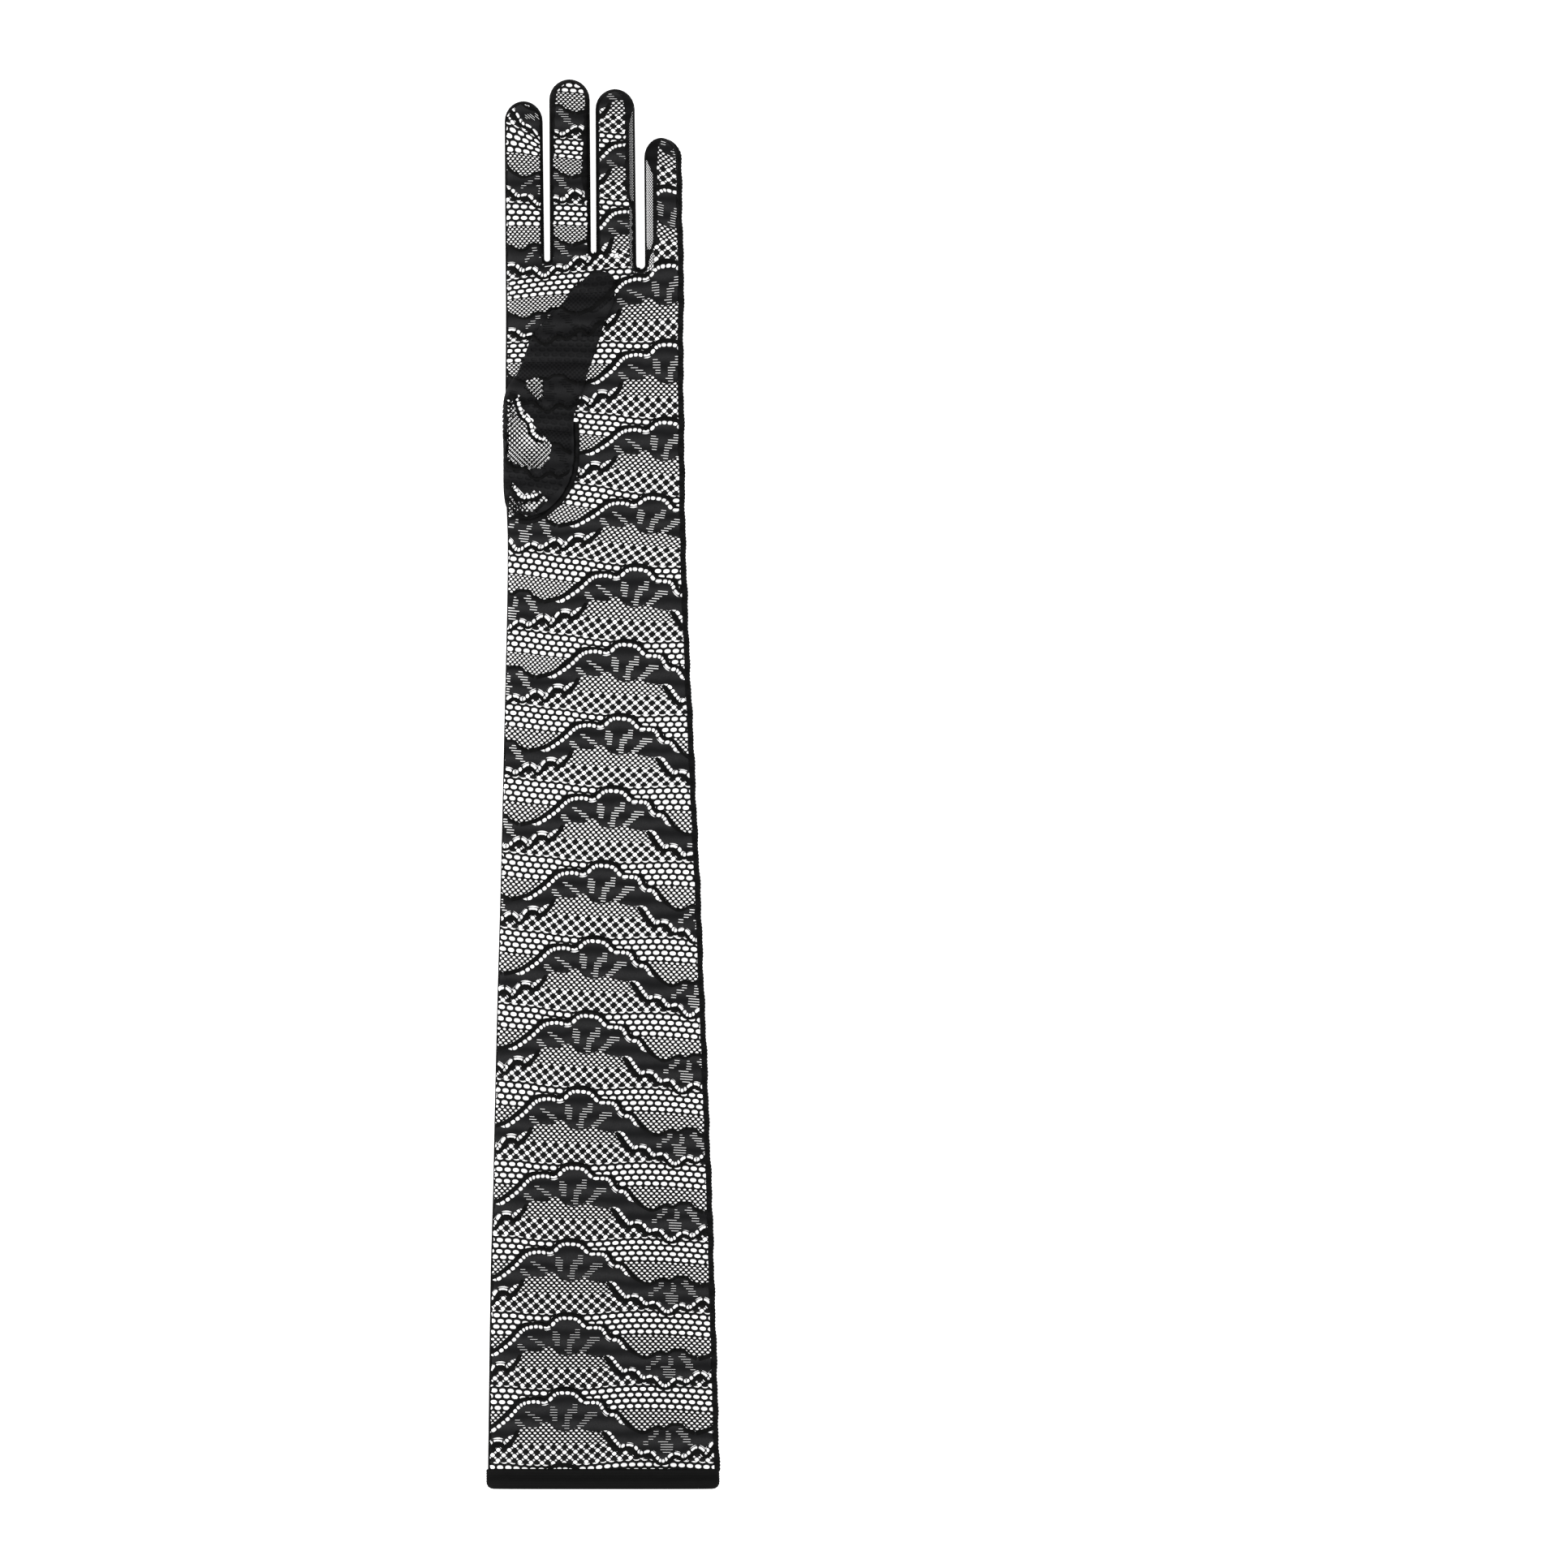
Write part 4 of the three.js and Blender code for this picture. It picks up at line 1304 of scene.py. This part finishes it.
print("gaps between the fingers in mm:", [round(float(edge_of(b, "left", y) - edge_of(a, "right", y)), 1)
                                          for a, b, y in FORKS])

# %% [markdown]
# The finger seams
#
# Each edge has its own seam: the outer band, an opening where the tulle shows, and the inner band. The
# inner edge of a seam is uneven, because the machine's knife cuts the lace between its stitches. Round
# the fingertips the bands widen until they meet, and close the stall. For every edge a table gives how wide
# its seam is at the tip and at the root, and where the opening begins and ends, in millimetres from the
# edge. A curve with a bevel would make an even band only.

# %% Widths of the finger seams
SEAM_LIFT = 0.5
BANDS = {
    (0, "right"): (0.9, 1.2, 0.4, 0.4),
    (1, "left"): (2.6, 1.2, 0.6, 0.6),
    (1, "right"): (1.2, 3.4, 0.6, 0.6),
    (2, "left"): (1.2, 1.2, 0.5, 0.5),
    (2, "right"): (3.9, 4.0, 2.2, 0.6),
    (3, "left"): (5.5, 5.1, 3.2, 0.45),
    (3, "right"): (0.7, 0.7, 0.3, 0.3),
    (0, "left"): (0.5, 0.5, 0.2, 0.2),
    "crotch": (1.3, 1.3, 0.6, 0.6),
}
FULL_TAPER = 40.0
CROTCH_WIDTH_FROM = 50
LONGEST_FINGER = 90
NO_LIMIT = 99.0
CAP_DEPTH = 1.4
CAP_OVERLAP = 0.5
LEFT_FOLD = table(["y", "push"], [(-305, 1.4), (-215, 1.2), (-180, 0.3), (110, 0.1), (125, 1.0)])
TULLE_STARTS = {(2, "right"): 9.4, (3, "left"): 9.2}
TULLE_TAPER = 7.0


def uneven_edge(along):
    return 0.22 * np.sin(along * 5.2) + 0.16 * np.sin(along * 2.1 + 1) + 0.1 * np.sin(along * 0.7)


def band_columns(widths, along, edge_y, n, from_tip):
    """Distances of a seam's six columns from the edge at each station, widening to half the finger."""
    at_tip, at_root, i, o = (widths[:, k] for k in range(4))
    w = at_tip + (at_root - at_tip) * np.clip(from_tip / FULL_TAPER, 0, 1)
    w = np.maximum(w + uneven_edge(along), i + 0.05)
    half = [half_width(k, y) if f < LONGEST_FINGER else NO_LIMIT for k, y, f in zip(n, edge_y, from_tip)]
    half = np.array(half)
    straight = np.array([half_width(k, FINGERS["tip"][k] - TIP_LENGTH) for k in n])
    rise = np.clip((TIP_LENGTH - from_tip) / (TIP_LENGTH - CAP_DEPTH), 0, 1)
    capped = half - (straight - w) * np.sqrt(1 - rise**2)
    scale = np.where(from_tip < TIP_LENGTH, capped / w, 1.0)[:, None]
    columns = np.stack([w, (w + i) / 2, i, o, o * 0.4, 0 * o], -1)
    return np.minimum(columns * scale, half[:, None])


def cap_push(n, y, from_tip):
    """How far a seam stands out beyond its edge: less and less round a fingertip, where two seams meet."""
    straight = np.array([half_width(k, FINGERS["tip"][k] - TIP_LENGTH) for k in n])
    narrow = np.array([half_width(k, v) for k, v in zip(n, y)]) / straight
    return np.where(from_tip < TIP_LENGTH, narrow - CAP_OVERLAP * (1 - np.minimum(narrow, 1)) ** 6, 1.0)


print("seam beside the little finger's tulle, tip and root in mm:", BANDS[(3, "left")][:2])

# %% [markdown]
# From the widths to a mesh
#
# Every station along an edge gets a cross-section of twelve points, six on the palm and six on the back.
# The faces between them make the two bands and the wall round the edge. Where the tulle shows, the faces of
# the opening are left out, and the wall is there at the fingertips and along the outer edges only.


# %% Overlocked finger seams
def seam_mesh(edge, into, columns, push, open_at, wall_at):
    """A seam's points and faces: upper columns, then lower ones; some faces are left open."""
    upper = on_surface(edge, into, columns, 1, SEAM_LIFT, push)
    lower = on_surface(edge, into, columns[:, ::-1], -1, SEAM_LIFT / 2, push)
    points = np.concatenate([upper, lower], 1)
    rows, across = points.shape[:2]
    faces = grid_faces(rows, across).reshape(rows - 1, across - 1, 4)
    keep = np.ones(faces.shape[:2], bool)
    keep[:, 2] = keep[:, 8] = ~(open_at[:-1] & open_at[1:])
    keep[:, 5] = wall_at[:-1] | wall_at[1:]
    return points.reshape(-1, 3), faces[keep]


def path_sides(a, n):
    return [(k, "right" if k == a else "left") for k in n]


def fork_seam(a, b, crotch):
    edge, into, n, from_tip = fork_path(a, b, crotch)
    along = np.append(0, np.cumsum(np.linalg.norm(np.diff(edge, axis=0), axis=1)))
    sides = path_sides(a, n)
    low_down = from_tip > CROTCH_WIDTH_FROM
    widths = np.array([BANDS["crotch"] if low else BANDS[s] for s, low in zip(sides, low_down)])
    stations = 9
    for k in range(4):
        padded = np.pad(widths[:, k], stations // 2, mode="edge")
        widths[:, k] = np.convolve(padded, np.ones(stations) / stations, mode="valid")
    tulle_from = np.array([TULLE_STARTS.get(s, 0.0) for s in sides])
    opening = np.clip((from_tip - tulle_from) / TULLE_TAPER, 0.1, 1)
    opening = np.where(tulle_from > 0, opening, 1.0)
    widths[:, 2] = widths[:, 3] + (widths[:, 2] - widths[:, 3]) * opening
    columns = band_columns(widths, along, edge[:, 1], n, from_tip)
    shows = np.array([s in TULLE_STARTS for s in sides]) & ~low_down & (from_tip > tulle_from)
    return seam_mesh(edge, into, columns, cap_push(n, edge[:, 1], from_tip), shows, from_tip < TIP_LENGTH)


def outer_seam(n, side, low_y):
    """The seam along an outer edge of the hand, from a fingertip down to a given height."""
    tip = FINGERS["tip"][n]
    start = tip - TIP_LENGTH
    ys = np.append(start + TIP_LENGTH * np.sin(CAP_STATIONS), np.arange(start, low_y, -STATION))
    edge = np.stack([np.where(ys > KNUCKLES, edge_of(n, side, ys), at(SLEEVE, side, ys)), ys], -1)
    into = np.tile([1.0 if side == "left" else -1.0, 0.0], (len(ys), 1))
    widths = np.tile(BANDS[(n, side)], (len(ys), 1))
    fingers = np.full(len(ys), n)
    columns = band_columns(widths, ys, ys, fingers, tip - ys)
    push = cap_push(fingers, ys, tip - ys)
    if side == "left":
        push = push * np.interp(ys, LEFT_FOLD["y"], LEFT_FOLD["push"])
    none = np.zeros(len(ys), bool)
    return seam_mesh(edge, into, columns, push, none, none | True)


def together(meshes):
    """Several sets of points and faces as one."""
    count, points, faces = 0, [], []
    for p, f in meshes:
        points.append(p)
        faces.append(f + count)
        count += len(p)
    return np.vstack(points), np.vstack(faces)


seam_meshes = [fork_seam(*fork) for fork in FORKS]
seam_meshes += [outer_seam(0, "left", HEM_EDGE + 1), outer_seam(3, "right", KNUCKLES)]
finger_seams = mesh_object("finger_seams", *together(seam_meshes), seam_yarn)

# %% [markdown]
# The tulle strips
#
# A glove maker calls the forked strips between the fingers fourchettes. Here they are of tulle, a fine net
# of its own. It is drawn with a mesh of 1.3 mm, because the real one is too fine to show. It is laid over
# the same paths, from the seam on the palm round the finger's side to the seam on the back. Where it is
# stretched in one layer it is light, and beside the ring finger, where its layers lie on each other, it is
# darker: its holes are made smaller there. A see-through sheet would be quicker, but it would have no
# threads for the light to catch.

# %% The tulle's surface
TULLE = {"pitch": 1.3, "row": 0.62}
TULLE_REACH = {(2, "right"): 2.6, (3, "left"): 3.6}
TULLE_OPEN = {(2, "right"): 0.45, (3, "left"): 0.69}
TULLE_HIDDEN = {"reach": 1.0, "open": 0.6}
TULLE_LIFT = 0.3
TULLE_FROM_TIP = 7.5


def tulle_surface(a, b, crotch):
    """A grid of points from the palm's seam, over the edge, to the back's seam, for every station."""
    edge, into, n, from_tip = fork_path(a, b, crotch)
    keep = from_tip > TULLE_FROM_TIP
    edge, into, n, from_tip = edge[keep], into[keep], n[keep], from_tip[keep]
    sides = path_sides(a, n)
    reach = np.array([TULLE_REACH.get(s, TULLE_HIDDEN["reach"]) for s in sides])
    away = reach[:, None] * np.linspace(1, 0, 12)[None] ** 1.5
    upper = on_surface(edge, into, away, 1, TULLE_LIFT)
    lower = on_surface(edge, into, away[:, ::-1], -1, TULLE_LIFT / 2)
    surface = np.concatenate([upper, lower], 1)
    steps = np.linalg.norm(np.diff(surface, axis=1), axis=2)
    across = np.concatenate([np.zeros((len(edge), 1)), np.cumsum(steps, 1)], 1)
    along = np.append(0, np.cumsum(np.linalg.norm(np.diff(edge, axis=0), axis=1)))
    return surface, across, along, sides


def tulle_point(surface, across, along, u, w):
    """The place of tulle coordinates: u mm along the path and w from 0 to 1 across it."""
    row = np.interp(u, along, np.arange(len(along)))
    low = np.clip(row.astype(int), 0, len(along) - 2)
    share = (row - low)[:, None]
    ends = []
    for r in (low, low + 1):
        target = w * across[r, -1]
        column = np.array([np.interp(v, across[k], np.arange(across.shape[1])) for v, k in zip(target, r)])
        c = np.clip(column.astype(int), 0, across.shape[1] - 2)
        part = (column - c)[:, None]
        ends.append(surface[r, c] * (1 - part) + surface[r, c + 1] * part)
    return ends[0] * (1 - share) + ends[1] * share


print("mesh of the tulle in mm:", TULLE["pitch"])

# %% [markdown]
# The surface is a grid of places, so the net can be drawn flat, as rhombic cells, and each of its points is
# then looked up on the grid. That wraps a regular net round any edge.


# %% Tulle fourchettes
def tulle_strip(name, replaced, a, b, crotch):
    surface, across, along, sides = tulle_surface(a, b, crotch)
    wide = across[:, -1].max()
    p, r = TULLE["pitch"], TULLE["row"]
    rows = max(int(round(wide / r)), 4)
    i, j = np.meshgrid(np.arange(1, int(along[-1] / p)), np.arange(0, rows + 1), indexing="ij")
    u, w = (i + (j % 2) * 0.5) * p, j / rows
    middles = np.stack([u, w * wide], -1).reshape(-1, 2)
    shape = rhombus(p, r)
    station = np.clip(np.searchsorted(along, middles[:, 0]), 0, len(along) - 1)
    holes = np.array([TULLE_OPEN.get(sides[k], TULLE_HIDDEN["open"]) for k in station])
    corners = np.concatenate(
        [middles[:, None] + shape[None], middles[:, None] + shape[None] * holes[:, None, None]], 1
    )
    corners[..., 1] = np.clip(corners[..., 1], 0, wide)
    flat = corners.reshape(-1, 2)
    _, _, ring_faces = ring_cell(shape, shape)
    faces = (np.arange(len(corners))[:, None, None] * corners.shape[1] + ring_faces[None]).reshape(-1, 4)
    flat, faces = joined(flat, faces)
    faces = with_area(np.column_stack([flat, np.zeros(len(flat))]), faces, 0.002)
    points = tulle_point(surface, across, along, flat[:, 0], flat[:, 1] / wide)
    piece = mesh_object(name, points, faces, tulle_thread)
    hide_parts(replaced)
    print(f"{name}: {along[-1]:.0f} mm long, {across[:, -1].min():.1f} to {wide:.1f} mm wide")


tulle_strip("tulle_index_middle", "fourchette_index_middle", *FORKS[0])
tulle_strip("tulle_middle_ring", "fourchette_middle_ring", *FORKS[1])
tulle_strip("tulle_ring_little", "fourchette_ring_little", *FORKS[2])

# %% [markdown]
# The side seam
#
# Along the outer edge, from the hem to the little finger, the lace is closed with an overlock seam. Its
# two cut edges lie together and stick out 1.9 mm, wrapped in thread. The strip swells a little at every
# stitch, and its edge wanders, as it does where the cloth was fed by hand. A cross-section is carried along
# the edge. Its points are given as millimetres out from the edge and up from the fold, and where there is
# no height, the point lies on the lace.

# %% Side seam
SEAM_SECTION = [(-0.7, None), (-0.3, None), (0.2, 1.35), (1.3, 1.2), (1.9, 0.6),
                (1.9, -0.6), (1.3, -1.2), (0.2, -1.35), (-0.3, None), (-0.7, None)]
SEAM_FROM, SEAM_TO = -305.0, 285.6
SEAM_TAPER = 6.0
STITCH = 1.6
LITTLE_FINGER_FROM, LITTLE_FINGER_BLEND = 226, 8
ON_LACE, BELOW_LACE = 0.55, 0.1


def seam_edge(y):
    """The lace's right edge and the height of its fold, along the sleeve and the little finger."""
    _, sleeve_right, base, top = sleeve_section(y)
    _, finger_right, finger_base, finger_top = finger_section(3, y)
    share = np.clip((y - LITTLE_FINGER_FROM) / LITTLE_FINGER_BLEND, 0, 1)
    waist = base + (top - base) * WAIST_SHARE
    finger_waist = finger_base + (finger_top - finger_base) * WAIST_SHARE
    return sleeve_right * (1 - share) + finger_right * share, waist * (1 - share) + finger_waist * share


def side_seam():
    ys = np.arange(SEAM_FROM, SEAM_TO, STITCH / 4)
    edge, waist = seam_edge(ys)
    swell = 0.13 * np.cos(ys * 2 * math.pi / STITCH)
    wander = 0.16 * np.sin(ys / 4.1) + 0.12 * np.sin(ys / 1.7 + 2) + 0.1 * np.sin(ys / 11)
    columns = []
    taper = np.sqrt(np.clip((SEAM_TO - ys) / SEAM_TAPER, 0.02, 1))
    for k, (out, up) in enumerate(SEAM_SECTION):
        x = edge + (out + (wander if out > 1 else wander / 2) + (swell if out > 0 else 0)) * taper
        if up is None:
            flat_x = np.minimum(x, edge - 0.05)
            on_palm = k < len(SEAM_SECTION) / 2
            z = upper_height(flat_x, ys) + ON_LACE if on_palm else lower_height(flat_x, ys) - BELOW_LACE
            z = np.maximum(z, ABOVE_TABLE)
        else:
            z = waist + (up + (swell if up > 0 else -swell)) * taper
        columns.append(np.stack([x, ys, z], -1))
    points = np.stack(columns, 1)
    return points.reshape(-1, 3), grid_faces(len(ys), len(SEAM_SECTION))


seam = mesh_object("side_seam_overlock", *side_seam(), seam_yarn)
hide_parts("side_seam")
print("side seam in mm:", round(SEAM_TO - SEAM_FROM, 1), "with a stitch every", STITCH)

# %% [markdown]
# The hem band
#
# The opening is bound with a plain band of elastic rib knit, doubled over, 9 mm high, with rounded lower
# corners. A closed loop round the sleeve's section is repeated along a profile, so the band is one skin: up
# the inside, over the lower lip and up the outside, with the fine lines of its knitted rows round it.

# %% Hem band
HEM = {"low": -313.0, "high": -304.2, "corner": 3.2, "outside": 1.5, "inside": 0.35, "row": 1.15}


def loop_of_section(left, right, base, top, points=72):
    """A closed loop of x and z round a section, from its right edge over the top."""
    turn = np.linspace(0, math.pi, points)
    x = (left + right) / 2 + (right - left) / 2 * np.cos(turn)
    section = (left, right, base, top)
    upper, lower = crown(x, *section), underside(x[::-1], *section)
    return np.column_stack([np.append(x, x[::-1][1:-1]), np.append(upper, lower[1:-1])])


def hem_profile():
    """How far out and how high each ring of the band lies, from inside its mouth to its upper edge."""
    outside, inside = HEM["outside"], HEM["inside"]
    lip = (outside + inside) / 2
    rings = [(inside, HEM["high"]), (inside, HEM["low"] + 0.6), (lip, HEM["low"] + 0.05)]
    ys = np.arange(HEM["low"] + 0.25, HEM["high"] - 0.2, HEM["row"] / 4)
    rings += [(outside - 0.09 + 0.09 * math.cos((y - HEM["low"]) * 2 * math.pi / HEM["row"]), y) for y in ys]
    rings += [(outside - 0.3, HEM["high"]), (lip - 0.2, HEM["high"] + 0.12)]
    return rings


def hem_band():
    loops = []
    for out, y in hem_profile():
        left, right, base, top = (float(v) for v in sleeve_section(np.array(max(y, SLEEVE["y"][0]))))
        share = np.clip((y - HEM["low"]) / HEM["corner"], 0, 1)
        drawn_in = HEM["corner"] * (1 - math.sqrt(1 - (1 - share) ** 2))
        low = max(base - out, ABOVE_TABLE)
        loop = loop_of_section(left - out + drawn_in, right + out - drawn_in, low, top + out)
        loops.append(np.column_stack([loop[:, 0], np.full(len(loop), y), loop[:, 1]]))
    points = np.array(loops)
    return points.reshape(-1, 3), grid_faces(len(loops), points.shape[1], close_columns=True)


band = mesh_object("hem_band_knit", *hem_band(), hem_knit)
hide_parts("hem_band")
print("hem band in mm:", round(HEM["high"] - HEM["low"], 1), "high")

# %% [markdown]
# The thumb
#
# The thumb stall is sewn round its hole in the palm and folded over, so its tip points to the fingers.
# Its lace lies over the palm's lace, so it looks nearly solid. The thumb has lace on both sides, cut from the
# same rows, and under each side a closed sheet of plain cells with no holes. The sheet stands in for the
# layers below and is painted shade for the shadows between them, so that the thumb is as dark as several
# layers are.

# %% Cuts and lifts of the thumb
THUMB_FROM, THUMB_TO = 118.5, 226.9
STALL_FROM = 170
FOLD_WIDTH = 3.0
THUMB_ROWS = range(2, 8)
THUMB_NET = {"pitch": 2.1, "row": 1.1, "start": (0.0, 0.0), "hole": (0.67, 0.6)}
UNDER_NET = {"pitch": 2.25, "row": 1.03, "start": (-30.45, 171.6), "hole": (0.7, 0.62)}


def cut_to_thumb(points, slack=0.5):
    """Keeps the cells that lie on the thumb, and pulls their corners inside its outline."""
    middle = points.mean(1)
    y = np.clip(middle[:, 1], 118.6, THUMB_TO)
    left, right, _, _ = thumb_section(y)
    keep = (middle[:, 0] > left - slack) & (middle[:, 0] < right + slack) & (np.abs(middle[:, 1] - y) < slack)
    points = points[keep]
    corners = points.reshape(-1, 2).copy()
    corners[:, 1] = np.clip(corners[:, 1], THUMB_FROM, THUMB_TO)
    left, right, _, _ = thumb_section(corners[:, 1])
    corners[:, 0] = np.clip(corners[:, 0], left, right)
    return corners.reshape(points.shape)


def in_open_window(x, y):
    return in_window(x, y) & ~in_belt(x, y)


def on_underside(x, y):
    """The thumb's underside: all of it beyond the hole, but only its edges round the base."""
    left, right, _, _ = thumb_section(y)
    beyond = (y > STALL_FROM) | (np.minimum(x - left, right - x) < FOLD_WIDTH)
    return beyond & outside_openings(x, y)


cut_to_solid_thumb = cut_by(cut_to_thumb, outside_openings)
cut_to_window = cut_by(cut_to_thumb, in_open_window)
cut_to_underside = cut_by(cut_to_thumb, on_underside)
lift_thumb = lifting(thumb_upper, UPPER_LIFT)
lift_layers_and_shade = lifting(thumb_upper, -0.25)
lift_thumb_back = lifting(thumb_lower, 0.1, -1)
lift_back_layers_and_shade = lifting(thumb_lower, 0.4, -1)
print("thumb in mm:", round(THUMB_TO - THUMB_FROM, 1), "long")

# %% [markdown]
# The thumb's own cells
#
# The windows show a regular net, which is drawn over the length of the thumb in the glove's own
# coordinates and then cut to the windows. The closed sheets of painted shade are made of the same cells
# without their holes. Cord and eyelets follow two charted paths.

# %% Thumb lace
THUMB_SPAN = (116, 230)


def thumb_net_cells(net):
    middles, _ = lattice(net, *(end - net["start"][1] for end in THUMB_SPAN))
    corners, rise, faces = fine_cell(net)
    return middles[:, None] + corners[None], rise, faces, [ONCE]


# A closed sheet with no holes under the thumb's lace: it stands in for the layers below and is painted shade
# for the shadows between them.
def thumb_layers_and_shade_cells():
    middles, _ = lattice(THUMB_NET, *THUMB_SPAN)
    outer = rhombus(THUMB_NET["pitch"], THUMB_NET["row"])[::2]
    return middles[:, None] + outer[None], np.zeros(4), quad, [ONCE]


def cord_along(points):
    """A cord laid along a path in glove coordinates."""
    curve = dense(points)
    return cord_cells(curve, np.full(len(curve), CORD_WIDTH), 1), cord_rise, cord_faces(), [ONCE]


def eyelets_along(points):
    """A row of eyelets beside a cord in glove coordinates."""
    curve = dense(points)
    cells = eyelet_belt(curve, np.full(len(curve), CORD_WIDTH), (-99, 99), 1)
    return cells, *belt_cell[1:], [ONCE]


# Closed sheets under both sides of the thumb: a stand-in for the layers below and painted shade for the
# shadows between them.
layers_and_shade = [thumb_layers_and_shade_cells()]
window_net = [thumb_net_cells(THUMB_NET)]
window_eyelets = [eyelets_along(cord) for cord in THUMB_CORDS]
window_cords = [cord_along(cord) for cord in THUMB_CORDS]
thumb_pieces = [
    fabric("thumb_lace", nets + garland, lift_thumb, layered_lace, THUMB_ROWS, cut_to_solid_thumb),
    fabric("thumb_lace_cords", cords, lift_thumb, cord_yarn, THUMB_ROWS, cut_to_solid_thumb),
    fabric("thumb_windows", window_net, lift_thumb, net_thread, cut=cut_to_window),
    fabric("thumb_layers_and_shade", layers_and_shade, lift_layers_and_shade, layered_lace, cut=cut_to_solid_thumb),
    fabric("thumb_back", nets + garland, lift_thumb_back, layered_lace, THUMB_ROWS, cut_to_underside),
    fabric("thumb_back_layers_and_shade", layers_and_shade, lift_back_layers_and_shade, layered_lace, cut=cut_to_underside),
    fabric("thumb_eyelets", window_eyelets, lift_thumb, dense_lace, cut=cut_to_thumb),
    fabric("thumb_cords", window_cords, lift_thumb, cord_yarn, cut=cut_to_thumb),
]
for piece in thumb_pieces:
    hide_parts("thumb_stall")
under_net = [thumb_net_cells(UNDER_NET)]
back_net = fabric("lace_net_back_windows", under_net, lift_lower, net_thread, cut=cut_to_window)
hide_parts("lace_trank")

# %% [markdown]
# The seam round the thumb's base
#
# A ridge of overlocked thread joins the stall to the palm, from the crotch of the thumb round to the
# folded edge. Its section is a low arch that swells at every stitch. It follows the thumb's right edge
# down to where the path leaves it, below the thumb, and lies on the palm.

# %% Thumb seam
THUMB_SEAM_SECTION = [(-1.4, 0.0), (0.0, 0.1), (0.25, 0.75), (0.75, 1.15),
                      (1.45, 1.15), (1.95, 0.75), (2.2, 0.0)]
THUMB_SEAM_ROWS = [160, 148, 137, 128, 121.5]
BELOW_THUMB = [(-31, 117.6), (-37.5, 117.5)]
RIDGE_LIFT = 0.3


def thumb_seam():
    path = [(float(at(THUMB, "right", np.array(y))), y) for y in THUMB_SEAM_ROWS] + BELOW_THUMB
    curve = dense(path, STITCH / 4)
    out = -normals(curve)
    centre = np.array([THUMB_HOLE["x"], THUMB_HOLE["y"]])
    out *= np.sign(((curve - centre) * out).sum(1))[:, None]
    length = np.arange(len(curve)) * STITCH / 4
    swell = 1 + 0.12 * np.cos(length * 2 * math.pi / STITCH)
    columns = []
    for across, up in THUMB_SEAM_SECTION:
        flat = curve + out * (RIDGE_LIFT + across)
        z = crown(flat[:, 0], *sleeve_section(flat[:, 1])) + RIDGE_LIFT + up * swell
        columns.append(np.column_stack([flat, z]))
    points = np.stack(columns, 1)
    print("seam round the thumb's base in mm:", round(float(length[-1])))
    return points.reshape(-1, 3), grid_faces(len(curve), len(THUMB_SEAM_SECTION))


ridge = mesh_object("thumb_seam_overlock", *thumb_seam(), seam_yarn)
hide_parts("thumb_seam")

# %% [markdown]
# Camera, light and table
#
# The glove is seen from straight above with a very long lens, so nothing leans. The table gives light of
# its own, like a light table, which keeps the holes of the lace white. A very wide, soft lamp and a white
# room give hardly any shadow, as in a product picture. The table lies a hair below the glove, so that the
# two never share a surface.

# %% Camera
VIEW_CENTRE = (80.28, -0.36)
VIEW_WIDTH = 695.52
LENS = 600.0
SENSOR = 36.0

camera_data = bpy.data.cameras.new("camera above")
camera_data.lens = LENS
camera_data.sensor_width = SENSOR
camera_data.clip_end = 100.0
camera = bpy.data.objects.new("camera above", camera_data)
camera.location = (VIEW_CENTRE[0] * MM, VIEW_CENTRE[1] * MM, VIEW_WIDTH * MM * LENS / SENSOR)
bpy.context.scene.collection.objects.link(camera)
bpy.context.scene.camera = camera
print("camera above the table in m:", round(camera.location.z, 1))

# %% [markdown]
# The table is a painted white plate, matt and lit from within. It is stage, not part of the glove.

# %% Table
TABLE_HALF = 12.0
TABLE_DROP = 0.0002

table_top, tree = new_material("white light table")
surface = add(
    tree,
    "ShaderNodeBsdfPrincipled",
    {"Base Color": linear("#f2f2f2"), "Roughness": 0.6,
     "Emission Color": (1, 1, 1, 1), "Emission Strength": 0.95},
)
add(tree, "ShaderNodeOutputMaterial", Surface=surface.outputs["BSDF"])
mesh = bpy.data.meshes.new("table")
corners = [(x * TABLE_HALF, y * TABLE_HALF, 0) for x, y in ((-1, -1), (1, -1), (1, 1), (-1, 1))]
mesh.from_pydata(corners, [], [(0, 1, 2, 3)])
mesh.materials.append(table_top)
floor = bpy.data.objects.new("table", mesh)
floor.location.z = -TABLE_DROP
bpy.context.scene.collection.objects.link(floor)
print("table in m:", 2 * TABLE_HALF)

# %% [markdown]
# The light is a white room and one large softbox, high on the left, on the viewer's side. A sun lamp with a
# wide angle does the same as a softbox far away, and it lights the whole table evenly.

# %% Light
world = bpy.data.worlds.new("soft white room")
world.use_nodes = True
world.node_tree.nodes["Background"].inputs["Color"].default_value = (1, 1, 1, 1)
world.node_tree.nodes["Background"].inputs["Strength"].default_value = 0.75
bpy.context.scene.world = world
softbox = bpy.data.lights.new("softbox", "SUN")
softbox.energy = 1.2
softbox.angle = math.radians(50)
lamp = bpy.data.objects.new("softbox", softbox)
lamp.rotation_euler = (math.radians(35), math.radians(-30), 0)
bpy.context.scene.collection.objects.link(lamp)
bpy.context.scene.view_settings.view_transform = "Standard"
print("softbox angle in degrees:", round(math.degrees(softbox.angle)))
